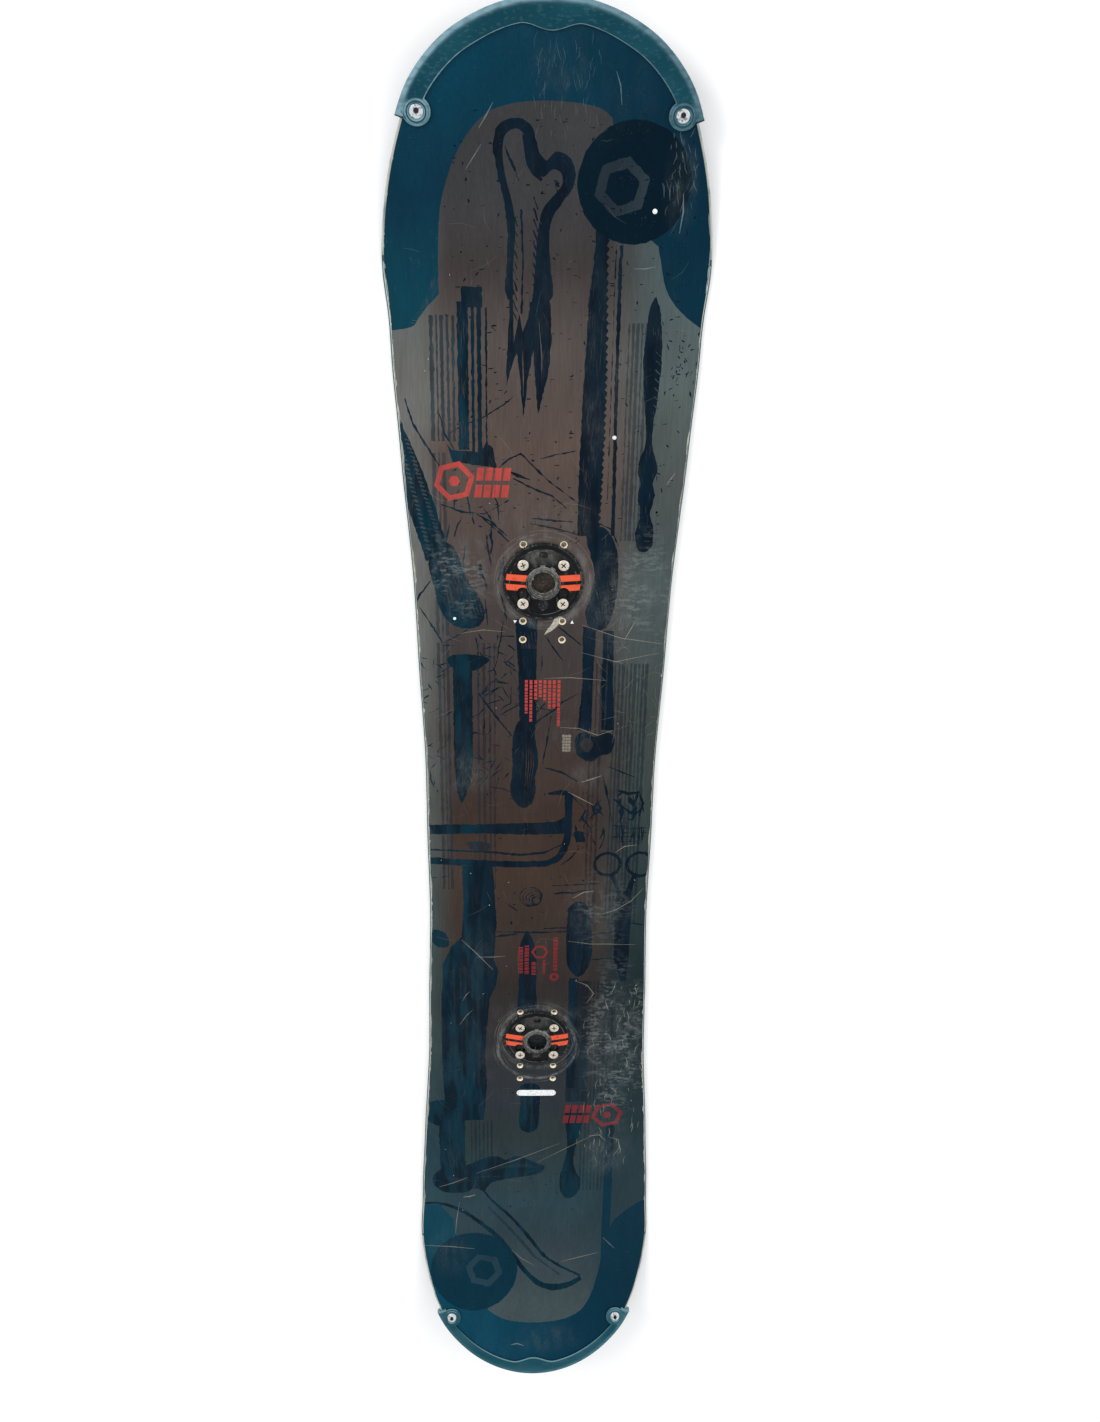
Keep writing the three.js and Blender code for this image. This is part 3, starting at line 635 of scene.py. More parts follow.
def saw():
    """A long toothed blade with its heel, back wires and open grip."""
    teeth = []
    for k in range(40):
        y = 345 + 7 * k
        teeth += [(54 + 1.6 * math.sin(y / 60), y), (56.4 + 1.6 * math.sin(y / 60), y + 4.5)]
    back = [(43, 624), (42, 600), (38, 560), (36, 500), (34, 450), (33, 400), (33, 345)]
    blade = [*back, *teeth]
    heel = blob((42, 350), (58, 354), (71, 336), (75, 300), (72, 270), (64, 249), (50, 247),
                (43, 262), (48, 285), (51, 305), (46, 328))
    grip = blob((36, 118), (38, 128), (46, 132), (56, 126), (66, 132), (76, 128), (78, 117),
                (74, 107), (62, 103), (55, 97), (46, 99), (38, 107))
    left_post = [(41, 250), (55, 250), (53, 200), (53, 132), (38, 134), (42, 180)]
    right_post = [(62, 246), (73, 246), (74, 190), (77, 134), (64, 134), (62, 190)]
    return [*inked(blade, heel, bar(61, 61.8, 380, 612)),
            ("ink", stroke([(66, 612), (66, 500), (67, 420), (68, 345)], 3.4)),
            *inked(left_post, right_post), ("stripe", bar(66.5, 68, 140, 240)), ("ink", grip),
            ("faint", blob((44, 122), (50, 125), (56, 118), (50, 108), (43, 112)))]


def awl():
    """An awl with a bulbous turned handle."""
    side = [(5, 560), (8, 540), (10, 520), (9.5, 500), (6.5, 470), (4, 450), (4.5, 432), (9.5, 420),
            (10.5, 408), (7, 397), (10, 386), (7, 375), (6, 366), (10, 352), (9.5, 338), (5, 330)]
    right = [(99 + 0.85 * w, y) for w, y in side]
    left = [(99 - 0.85 * w, y) for w, y in reversed(side)]
    shapes = [("ink", blob((99, 568), *right, *left))]
    for k in range(9):
        shapes.append(("faint", stroke([(102, 520 - 8 * k), (106.5, 516 - 8 * k)], 0.8)))
    return shapes


def chisel():
    """A square tool with a flat head and a broad foot."""
    foot = [(-94, 434), (-88, 428), (-62, 426), (-56, 436), (-50, 430), (-46, 411), (-60, 413), (-88, 416)]
    shapes = inked(bar(-82, -72, 428, 562), bar(-78, -59, 557, 575), foot)
    shapes += lines_down([(-68, 3), (-62, 4), (-55.5, 1.6)], 426, 557, "ink")
    return shapes


def ribbed_rods():
    """Two ribbed rods that run down from the left edge."""
    body = [(-142, 470), (-133, 446), (-120, 415), (-108, 380), (-98, 345), (-92, 318), (-116, 318),
            (-124, 345), (-134, 375), (-142, 410)]
    shapes = [("ink", body)]
    for start, end in (((-139, 440), (-113, 330)), ((-131, 437), (-101, 336))):
        for k in range(26):
            share = k / 25
            x = start[0] + (end[0] - start[0]) * share
            y = start[1] + (end[1] - start[1]) * share
            shapes.append(("stripe", stroke([(x - 2.2, y + 0.8), (x + 2.2, y - 0.8)], 1.7)))
    shapes.append(("ink", blob((-114, 322), (-104, 334), (-92, 336), (-84, 322), (-76, 300), (-64, 280),
                               (-58, 262), (-64, 251), (-78, 247), (-92, 252), (-102, 264), (-108, 288))))
    for k in range(9):
        x = -104 + 4.4 * k
        shapes.append(("faint", stroke([(x, 320 - 3 * k), (x + 8, 285 - 3 * k), (x + 11, 262)], 0.8, 0.7)))
    return shapes


def big_nail():
    head = blob((-98, 214), (-88, 219), (-70, 219), (-54, 214), (-62, 205), (-75, 200), (-90, 203))
    shank = [(-92, 204), (-72, 204), (-72, 100), (-74, 76), (-80, 56), (-85, 44), (-90, 60), (-92, 92)]
    return inked(head, shank)


def front_knife():
    """A short broad blade on a hatched grip."""
    blade = [(-28, 258), (-5, 258), (-6, 200), (-5, 140), (-23, 140), (-24, 195)]
    grip = blob((-24, 144), (-8, 144), (-6, 125), (-3, 105), (-3, 90), (-6, 78), (-5, 60), (-10, 45),
                (-18, 40), (-26, 45), (-32, 60), (-30, 85), (-30, 120))
    shapes = inked(blade, grip)
    for k in range(4):
        gleam = [(-15 + 2.2 * k, 118 - 3 * k), (-15.5 + 2.6 * k, 92), (-17 + 2 * k, 66)]
        shapes.append(("panel", stroke(gleam, 0.8, 0.9)))
    for k in range(14):
        shapes.append(("faint", stroke([(-22 + 1.2 * k, 244 - 7 * (k % 3)), (-21 + 1.2 * k, 226)], 0.5)))
    return shapes


def hacksaw():
    """A bow saw that lies across the board, with its wing nut."""
    bow = [(31, 56), (31, 30), (31, 8), (28, -8), (22, -21), (10, -29), (-10, -31), (-60, -30), (-130, -26)]
    back = [(-130, 19), (-60, 20), (18, 23), (28, 30), (28, 8), (-10, 7), (-60, 8), (-130, 7)]
    blade = stroke([(-130, -12), (-60, -15), (-20, -19), (5, -16), (24, -6)], 3.2, 0.4)
    wing = blob((8, 58), (20, 56), (32, 55), (44, 44), (48, 40), (40, 50), (30, 60), (20, 62))
    return [*inked(back, stroke(curve(bow), 8), blade),
            ("stripe", blob((-80, -4), (-66, -2), (-54, -6), (-58, -14), (-74, -13))),
            *inked([(37, 10), (48, 11), (51, -2), (40, -3)], wing)]


def scissors():
    blade = [(100, -60), (106, -80), (105, -150), (103, -190), (97, -190), (88, -160), (86, -95), (92, -75)]
    return inked(
        ring(76, -31, 16, 12.4), ring(113, -31, 17, 13.2),
        stroke([(81, -45), (87, -58), (90, -72), (88, -84)], 4.5),
        stroke([(107, -46), (103, -58), (101, -72)], 6), blade)


def left_tools():
    """The long dark haft on the left, its collar and the bar and pick below it."""
    haft = [(-86, -33), (-52, -33), (-50, -60), (-48, -110), (-51, -160), (-46, -176), (-50, -200),
            (-56, -215), (-60, -260), (-62, -300), (-60, -345), (-64, -400), (-100, -402),
            (-112, -372), (-114, -300), (-113, -220), (-110, -165), (-100, -142), (-88, -128), (-85, -80)]
    pick = blob((-131, -502), (-120, -483), (-96, -479), (-75, -470), (-60, -462), (-47, -461),
                (-38, -467), (-25, -460), (-10, -466), (2, -473), (12, -479), (7, -489), (-5, -494),
                (-20, -497), (-45, -502), (-58, -508), (-65, -521), (-74, -516), (-92, -523), (-118, -521))
    knob = blob((-124, -122), (-116, -118), (-104, -126), (-104, -142), (-118, -140))
    collar = blob((-132, -374), (-118, -368), (-100, -372), (-96, -404), (-118, -410), (-132, -402))
    shapes = [*inked(haft, knob, collar, bar(-120, -88, -492, -396), pick),
              ("stripe", stroke([(-64, -488), (-40, -478), (-12, -477), (2, -481)], 7, 0.7)),
              ("stripe", stroke([(-112, -497), (-98, -502), (-84, -501)], 8, 0.6))]
    shapes += lines_down([(-98, 2.2), (-90, 1.2), (-84, 1.8), (-76, 1.2), (-70, 2.4)], -345, -170, "stripe")
    shapes += lines_down([(-107, 2.6), (-99, 1.4)], -480, -400, "stripe")
    return shapes


def curved_handle():
    """The pale curved handle across the tail with its dark outlines."""
    left = [(-150, -541), (-128, -541), (-112, -545), (-94, -555), (-70, -577), (-46, -603), (-29, -628),
            (-15, -650), (0, -667), (16, -676), (34, -677), (52, -671), (62, -664)]
    right = [(-66, -520), (-52, -541), (-32, -565), (-8, -600), (14, -632), (36, -648), (61, -661)]
    face = [*curve(left[3:]), *curve(right[::-1]), (-82, -518), (-96, -532)]
    return [("panel", face), ("faint", stroke([(-60, -548), (-30, -590), (0, -632), (34, -660)], 5, 0.6)),
            *inked(stroke(curve(left), 6.5, 0.4), stroke(curve(left[-6:]), 9, 0.4),
                   stroke(curve(right), 4.6, 0.4))]


def tail_field():
    """The dark tail with the panel's lower end."""
    shoulder = curve(
        [(-60, -708), (-45, -717), (-28, -722), (-1, -724), (20, -723), (42, -719), (62, -709),
         (75, -690), (84, -660), (89, -635)], 3)
    notch = curve([(98, -592), (103, -575), (115, -560), (130, -545), (150, -533)], 3)
    panel = [(-170, -518), (-150, -541), (-121, -545), (-117, -553), (-105, -570), (-103, -595),
             (-90, -640), *shoulder, *notch, (170, -518)]
    return [("surround", bar(-170, 170, -830, -524)), ("panel", panel)]


def tail_marks():
    """The tail's disc with its hexagonal nut, and a dark bar that runs up from it."""
    return [("emblem", circle(-79, -651, 57, 72)), ("glyph", ring(-66, -652, 25, 15.5, 6, -0.2)),
            ("surround", bar(88, 99, -640, -500)), ("ink", bar(88, 98, -506, -410))]


def right_tools():
    """A file, and a long spoon-shaped tool behind the rear disc."""
    file = blob((33, -100), (34, -88), (43, -80), (52, -82), (58, -94), (61, -120), (62, -150),
                (58, -172), (47, -184), (36, -172), (32, -140))
    spoon = blob((31, -505), (33, -488), (38, -465), (40, -440), (37, -405), (38, -385), (55, -385),
                 (57, -412), (51, -445), (48, -470), (53, -490), (58, -502), (56, -521), (48, -533),
                 (40, -533), (33, -521))
    return [("ink", file), ("stripe", bar(36, 60, -372, -190)), *inked(bar(37, 47, -350, -186), spoon)]


def rear_knife():
    blade = blob((-13, -120), (-7, -130), (-3, -145), (-2, -200), (-2, -238), (-12, -240), (-22, -238),
                 (-22, -200), (-21, -145), (-18, -130))
    grip = blob((-18, -345), (3, -345), (4, -380), (3, -408), (-2, -419), (-10, -421), (-19, -416),
                (-21, -400), (-19, -370))
    slots = [("stripe", bar(-15, -12, -400, -350)), ("stripe", bar(-7, -4, -410, -350))]
    return inked(blade, grip) + slots


def dashes(x, top, bottom, width, rng):
    """A column of short dashes."""
    made = []
    y = top
    while y > bottom:
        size = rng.uniform(2.2, 5.0)
        made.append(("red", bar(x - width / 2, x + width / 2, max(y - size, bottom), y)))
        y -= size + rng.uniform(0.7, 1.2)
    return made


def hexagon_badge(x, y, turn):
    """A red hexagonal nut with two rows of slanted blocks beside it."""
    shapes = [("red", ring(x, y, 20, 14.5, 6, 0.25)), ("red", circle(x, y, 5.5, 6))]
    for row, offset in enumerate((7.0, -9.5)):
        for k in range(4):
            left = 21 + 8.6 * k - 2 * row
            low, high = offset - 6.2, offset + 6.2
            block = [(left, low), (left + 6.6, low), (left + 8.2, high), (left + 1.6, high)]
            shapes.append(("red", [(x + turn * bx, y + turn * by) for bx, by in block]))
    return shapes


def red_marks():
    """The two badges, the hanging rows of dashes and the small marks in front of the rear disc."""
    rng = random.Random(7)
    shapes = hexagon_badge(-87, 398, 1) + hexagon_badge(88, -393, -1)
    for k, depth in enumerate((38, 48, 22, 19, 24, 32, 32, 53)):
        shapes += dashes(-16 + 4.85 * k, 191, 191 - depth, 3.0, rng)
    for x, top, bottom in ((-20, -142, -179), (-13, -140, -180), (-5, -163, -181), (20, -129, -176)):
        shapes += dashes(x, top, bottom, 5.0, rng)
    shapes += dashes(7, -160, -180, 3.0, rng)
    shapes += [("red", ring(2, -149, 10, 7, 6)), ("red", ring(19, -184, 5.5, 2.4, 24))]
    return shapes


def fixed_sketch_lines():
    """Loose ink lines, each as (width, points)."""
    lines = [
        (1.8, [(-48, 407), (-36, 419), (-23, 425), (-16, 418), (5, 398), (34, 377)]),
        (2.6, [(-38, 409), (-26, 404), (-14, 400)]), (2.2, [(-30, 401), (-10, 391), (8, 384), (22, 372)]),
        (1.2, [(-5, 420), (10, 424), (30, 428)]), (1.6, [(-100, 375), (-80, 368), (-58, 366), (-34, 380)]),
        (1.2, [(-95, 441), (-80, 450), (-60, 458), (-40, 470), (-28, 480)]),
        (2.2, [(-132, 475), (-125, 452), (-112, 430), (-98, 408)]),
        (1.6, [(-100, 462), (-95, 442), (-86, 428)]),
        (2.4, [(-66, 366), (-50, 357), (-36, 344)]), (1.6, [(-60, 362), (-42, 346), (-34, 338)]),
        (1.8, [(-12, 362), (10, 360), (28, 359)]), (1.8, [(-14, 357), (12, 352), (34, 346)]),
        (1.4, [(54, 358), (66, 352), (74, 335)]), (2.0, [(-112, 298), (-124, 282), (-130, 272)]),
        (1.8, [(-124, 270), (-112, 250), (-102, 232)]), (1.4, [(-100, 232), (-86, 240), (-76, 246)]),
        (1.6, [(-38, 270), (-42, 240), (-48, 205)]), (1.4, [(-36, 212), (-28, 206)]),
        (1.8, [(16, 250), (28, 240), (40, 230)]), (1.6, [(3, 240), (12, 226), (22, 212)]),
        (2.2, [(-66, 176), (-48, 150), (-30, 126)]), (1.6, [(-42, 152), (-32, 158), (-24, 163)]),
        (2.4, [(5, 89), (22, 84), (40, 73)]), (1.8, [(10, 150), (7, 125), (2, 94)]),
        (1.8, [(-10, 138), (-4, 144), (14, 158), (22, 166), (38, 176)]),
        (1.4, [(70, 92), (86, 85), (102, 78)]),
        (1.6, [(66, 84), (72, 60), (79, 24)]), (1.4, [(-56, 66), (-42, 64), (-32, 60)]),
        (1.3, [(-40, -80), (-30, -88), (-24, -93)]), (1.5, [(14, -59), (40, -58), (68, -56)]),
        (2.6, [(17, -70), (28, -68), (38, -69), (60, -64)]), (1.6, [(24, -32), (34, -24), (44, -10)]),
        (1.6, [(38, 26), (40, 12), (36, 4)]), (1.8, [(48, 26), (56, 14), (52, 4)]),
        (1.4, [(-128, -50), (-100, -47)]), (2.0, [(-52, -121), (0, -122), (34, -121)]),
        (3.0, [(-50, -128), (-38, -126), (-24, -124)]), (2.2, [(6, -117), (20, -116), (36, -116)]),
        (1.5, [(26, -143), (38, -144)]), (1.6, [(60, -126), (76, -122), (90, -123)]),
        (1.6, [(62, -160), (78, -158), (96, -156)]), (1.3, [(100, -110), (112, -110), (124, -112)]),
        (4, [(84, 62), (96, 58), (108, 60)]), (4, [(86, 52), (90, 36), (88, 22)]),
        (5, [(98, 50), (104, 40), (102, 26)]), (3, [(108, 58), (112, 46), (110, 34)]),
        (3.4, [(92, 40), (100, 34), (108, 36)]), (1.2, [(80, 14), (120, 16)]),
        (1.4, [(84, 9), (118, 10)]), (1.2, [(80, 4), (116, 5)]), (1.4, [(88, -2), (112, -1)]),
        (3, [(56, 44), (60, 34), (54, 26)]), (4, [(50, 38), (46, 28), (52, 20)]),
        (2.4, [(62, 50), (66, 40), (60, 30)]),
    ]
    return [("ink", stroke(points, width, 0.55)) for width, points in lines]


def scattered(rng, count, x_range, y_range, size, width, kind, slant=math.pi):
    """Short bent strokes in a field."""
    made = []
    for _ in range(count):
        x, y = rng.uniform(*x_range), rng.uniform(*y_range)
        length, angle = rng.uniform(*size), rng.uniform(-slant / 2, slant / 2) + math.pi / 2
        dx, dy = length * math.cos(angle) / 2, length * math.sin(angle) / 2
        bend = rng.uniform(-0.12, 0.12) * length
        elbow = (x + bend * math.sin(angle), y - bend * math.cos(angle))
        points = [(x - dx, y - dy), elbow, (x + dx, y + dy)]
        made.append((kind, stroke(points, rng.uniform(*width), 0.6)))
    return made


def specks(rng, count):
    """Short level dashes over the upper half, as (x, y, length, width)."""
    ranges = ((-88, 125), (330, 716), (1.5, 5), (0.8, 1.5))
    return [tuple(rng.uniform(*limits) for limits in ranges) for _ in range(count)]


def ink_spatter():
    """Short strokes and specks of ink in fields over the panel."""
    rng = random.Random(21)
    shapes = scattered(rng, 46, (-72, -30), (70, 245), (7, 20), (0.8, 1.5), "ink")
    shapes += scattered(rng, 34, (-122, -94), (60, 240), (6, 14), (0.8, 1.3), "ink")
    shapes += scattered(rng, 34, (-96, -36), (262, 392), (10, 34), (1.0, 2.4), "ink", 0.9)
    shapes += scattered(rng, 26, (-60, 4), (150, 245), (7, 18), (0.9, 1.6), "ink")
    shapes += scattered(rng, 18, (40, 100), (-10, 60), (6, 18), (0.9, 2.0), "ink")
    shapes += scattered(rng, 12, (80, 116), (28, 62), (8, 16), (1.8, 3.4), "ink", 1.6)
    shapes += scattered(rng, 10, (84, 116), (2, 18), (14, 26), (1.2, 2.2), "ink", 0.2)
    shapes += scattered(rng, 190, (-92, 132), (330, 718), (1.2, 4.5), (0.7, 1.6), "ink")
    shapes += [("ink", stroke([(x, y), (x + w, y + 0.4)], h, 0.5)) for x, y, w, h in specks(rng, 230)]
    shapes += scattered(rng, 60, (-60, 60), (-120, 60), (1.2, 4.0), (0.7, 1.4), "ink")
    shapes += scattered(rng, 34, (110, 142), (480, 540), (2.0, 6.0), (0.7, 1.4), "ink")
    shapes += scattered(rng, 40, (-40, 60), (-600, -430), (1.0, 3.6), (0.8, 2.0), "ink")
    shapes += scattered(rng, 20, (-60, 60), (-380, -180), (1.5, 4.0), (0.8, 1.5), "ink")
    for k in range(5):
        shapes.append(("ink", ring(-9 + 1.5 * k, -74 - 1.2 * k, 13 - 2 * k, 12.2 - 2 * k, 24, k)))
    return shapes


def stripes():
    """The fields of thin lines that run along the board."""
    left = [(-106, 3.6), (-101, 1.4), (-96.5, 3.2), (-91, 2.2), (-86, 2.6)]
    low_left = [(-106, 3), (-101, 1.6), (-97, 3), (-66, 2), (-60, 3), (-54, 2), (-49, 1.4)]
    shapes = lines_down(left, 436, 550) + lines_down(left[:3], 240, 425, "faint")
    shapes += lines_down(low_left, -64, 232, "faint")
    right = [(76 + 4.1 * k, 1.5 + 0.8 * (k % 3)) for k in range(9)]
    shapes += lines_down(right[:5], 340, 545, "faint")
    shapes += lines_down([(52, 2.2), (57, 1.6), (62, 2.8), *right], -110, 210, "faint")
    shapes += lines_down([(57 + 4.6 * k, 1.4 + 0.9 * (k % 2)) for k in range(9)], -520, -190, "faint")
    shapes += lines_down([(-80 + 5 * k, 1.6 + 0.7 * (k % 2)) for k in range(6)], -470, -402, "faint")
    return shapes


def long_scratches():
    """Bare lines in the film, each as (width, points)."""
    lines = [
        (1.0, [(-75, -490), (-24, -467), (30, -440)]), (0.8, [(2, -472), (40, -447), (82, -420)]),
        (1.2, [(-145, -614), (-110, -616), (-78, -620)]), (1.2, [(-122, -513), (-104, -506), (-86, -497)]),
        (2.2, [(-92, -531), (-84, -530), (-76, -527)]), (0.9, [(35, -641), (60, -634), (85, -627)]),
        (0.8, [(-30, -622), (-16, -636), (0, -646)]), (0.9, [(90, -603), (98, -612), (106, -621)]),
        (0.9, [(-97, -540), (-101, -570), (-103, -595)]), (1.4, [(-30, -751), (-22, -749.5), (-13, -752)]),
        (1.2, [(-48, 722), (-54, 712), (-60, 703)]), (0.8, [(-72, 671), (-65, 681), (-58, 691)]),
        (1.4, [(118, 655), (119, 640), (117, 622)]), (1.0, [(54, 746), (58, 736), (60, 722)]),
        (0.8, [(78, 592), (88, 592), (98, 594)]), (0.8, [(-84, 242), (-60, 246), (-38, 244)]),
        (0.9, [(40, 252), (80, 238), (124, 232)]), (0.8, [(40, 222), (76, 212), (120, 222)]),
        (1.2, [(84, 236), (90, 248), (94, 256)]), (1.0, [(118, 396), (122, 402), (126, 408)]),
        (1.1, [(20, 137), (40, 136), (60, 128), (76, 134)]), (0.9, [(2, 193), (30, 194), (66, 191)]),
        (1.6, [(44, 72), (56, 76), (66, 80)]), (1.2, [(30, 60), (44, 52), (58, 44)]),
        (1.2, [(84, -16), (94, -8), (108, -6)]), (1.0, [(70, -98), (86, -92), (104, -80), (118, -62)]),
        (1.4, [(38, -76), (50, -68), (62, -66)]), (1.0, [(34, -134), (60, -138), (80, -138), (112, -139)]),
        (1.2, [(-88, -132), (-70, -152), (-52, -174)]), (1.0, [(-70, -156), (-54, -156), (-38, -155)]),
        (0.9, [(-92, -253), (-84, -240), (-76, -231)]), (0.9, [(-88, -218), (-84, -210), (-80, -205)]),
        (1.3, [(44, -190), (58, -196), (66, -208), (58, -222)]), (1.0, [(92, -350), (98, -356), (98, -362)]),
        (1.4, [(66, -428), (80, -426), (88, -436)]),
        (1.2, [(92, -430), (104, -434), (106, -448), (98, -462)]),
    ]
    rng = random.Random(5)
    shapes = [("scratch", stroke(points, width, 0.7)) for width, points in lines]
    shapes += scattered(rng, 90, (-130, 130), (-560, 700), (6, 34), (0.25, 0.5), "fine_scratch")
    shapes += scattered(rng, 60, (50, 128), (-470, -190), (4, 18), (0.4, 1.1), "scratch", 0.7)
    shapes += scattered(rng, 40, (50, 126), (120, 290), (5, 22), (0.4, 0.8), "fine_scratch")
    shapes += scattered(rng, 60, (-14, 40), (700, 775), (3, 12), (0.3, 0.6), "fine_scratch", 0.7)
    shapes += scattered(rng, 40, (100, 128), (640, 705), (3, 12), (0.5, 1.2), "fine_scratch", 0.9)
    shapes += scattered(rng, 24, (-120, 120), (-600, 650), (0.8, 1.6), (0.6, 1.2), "chip")
    return shapes


def dry_brush():
    """Light slivers along the large inked shapes."""
    rng = random.Random(31)
    areas = (
        (60, (36, 52), (350, 600), (4, 22)), (26, (93, 106), (340, 540), (3, 12)),
        (20, (-81, -73), (436, 560), (6, 24)), (30, (-110, -66), (256, 330), (4, 14)),
        (26, (46, 72), (256, 340), (4, 16)), (22, (-90, -73), (60, 205), (6, 24)),
        (20, (-28, -6), (44, 250), (4, 14)), (60, (-108, -58), (-400, -60), (8, 34)),
        (14, (-120, -90), (-490, -400), (8, 26)), (24, (36, 60), (-180, -90), (6, 20)),
        (24, (34, 56), (-530, -190), (6, 24)), (12, (-20, -4), (-240, -130), (4, 14)),
        (16, (-20, 2), (-415, -350), (4, 14)),
    )
    shapes = []
    for count, across, along, size in areas:
        shapes += scattered(rng, count, across, along, size, (0.3, 0.8), "dry", 0.16)
    return shapes


def rubbed_arcs():
    """Concentric scratches where the binding plates have turned on the board."""
    rng = random.Random(17)
    shapes = []
    for foot, offset in (("front", 0), ("rear", 0), ("rear", -14)):
        for _ in range(34):
            radius, start = rng.uniform(42, 53), rng.uniform(0, 2 * math.pi)
            reach = rng.uniform(0.15, 0.9)
            y = DISC_Y[foot] + offset
            points = [(radius * math.cos(start + reach * k / 8), y + radius * math.sin(start + reach * k / 8))
                      for k in range(9)]
            shapes.append(("fine_scratch", stroke(points, rng.uniform(0.3, 0.7), 0.6)))
    return shapes


def small_labels():
    """The white pill behind the rear disc, the small pointers and dots, and the bare sliver."""
    pill = stroke([(-20, -357.5), (20, -357.5)], 9)
    ends = [("label", circle(-19.5, -357.5, 4.5, 20)), ("label", circle(19.5, -357.5, 4.5, 20))]
    sliver = blob((2, 241), (5, 243), (10, 246), (19, 256), (20, 260), (14, 261), (9, 252), (5, 247))
    pointers = [("label", [(x - 1.8, y + s * 1.6), (x + 1.8, y + s * 1.6), (x, y - s * 1.8)])
                for x, y, s in ((-28, 255, 1), (30, 255, -1))]
    dots = [circle(24 + 3.1 * (k % 3), 110 + 3.4 * (k // 3), 1.5 + 0.4 * (k % 2), 10) for k in range(18)]
    return [("label", pill), *ends, ("chip", sliver), *pointers, ("label", circle(94, 640, 2.2, 10)),
            ("label", circle(66, 441, 2.0, 9)), ("label", circle(-89, 258, 1.6, 9)),
            *[("scratch", dot) for dot in dots]]


def edge_chips():
    """Bare nicks where the film has broken away along the two long edges."""
    rng = random.Random(13)
    shapes = []
    heights, widths = [p[1] for p in RIGHT_EDGE], [p[0] for p in RIGHT_EDGE]
    rim = SIDEWALL_LEAN + SHEET_CHAMFER
    for side, count in ((-1, 60), (1, 40)):
        for _ in range(count):
            y = rng.uniform(-560, 640)
            length, depth = rng.uniform(4, 34), rng.uniform(0.4, 1.5)
            line = []
            for k in range(6):
                at = y + length * (k / 5 - 0.5)
                x = float(np.interp(at, heights, widths))
                inner = rim + depth * math.sin(math.pi * k / 5) * rng.uniform(0.5, 1)
                line.append((side * (x - inner), at))
            outside = [(side * (abs(x) + 4), at) for x, at in reversed(line)]
            shapes.append(("chip", line + outside))
    return shapes


def whole_print():
    """Everything that is printed on the sheet, or scratched into it, in the order it is laid down."""
    drawn = [*nose_field(), *tail_field(), *stripes(), *pry_bar(), *chisel(), *saw(), *awl(),
             *ribbed_rods(), *fixed_sketch_lines(), *ink_spatter(), *big_nail(), *front_knife(),
             *hacksaw(), *scissors(), *left_tools(), *right_tools(), *rear_knife(),
             *tail_marks(), *curved_handle()]
    shapes = [(kind, wandering(points, 0.8 if KINDS[kind][0] else 0.25)) for kind, points in drawn]
    shapes += dry_brush() + red_marks() + small_labels() + long_scratches() + rubbed_arcs() + edge_chips()
    return shapes


# ------------------------------------------------------------------ materials
class Wire:
    """The output of a shader node. Sums and products of wires make further nodes."""

    def __init__(self, tree, socket):
        self.tree = tree
        self.socket = socket

    def made(self, operation, *others):
        node = self.tree.nodes.new("ShaderNodeMath")
        node.operation = operation
        for socket, value in zip(node.inputs, (self, *others)):
            feed(self.tree, socket, value)
        return Wire(self.tree, node.outputs[0])

    def __add__(self, other):
        return self.made("ADD", other)

    def __sub__(self, other):
        return self.made("SUBTRACT", other)

    def __mul__(self, other):
        return self.made("MULTIPLY", other)

    def rising(self, low, high):
        """0 below low, 1 above high and smooth between. With low over high it falls instead."""
        node = self.tree.nodes.new("ShaderNodeMapRange")
        node.interpolation_type = "SMOOTHSTEP"
        feed(self.tree, node.inputs["Value"], self)
        node.inputs["From Min"].default_value = min(low, high)
        node.inputs["From Max"].default_value = max(low, high)
        node.inputs["To Min"].default_value = 0 if low < high else 1
        node.inputs["To Max"].default_value = 1 if low < high else 0
        return Wire(self.tree, node.outputs["Result"])


def added(wires):
    """The sum of some wires."""
    total = None
    for wire in wires:
        total = wire if total is None else total + wire
    return total


def feed(tree, socket, value):
    """Links a wire to a socket, or sets a plain value on it."""
    if isinstance(value, Wire):
        tree.links.new(value.socket, socket)
    elif isinstance(value, tuple) and len(socket.default_value) == 4:
        socket.default_value = (*value, 1)
    else:
        socket.default_value = value


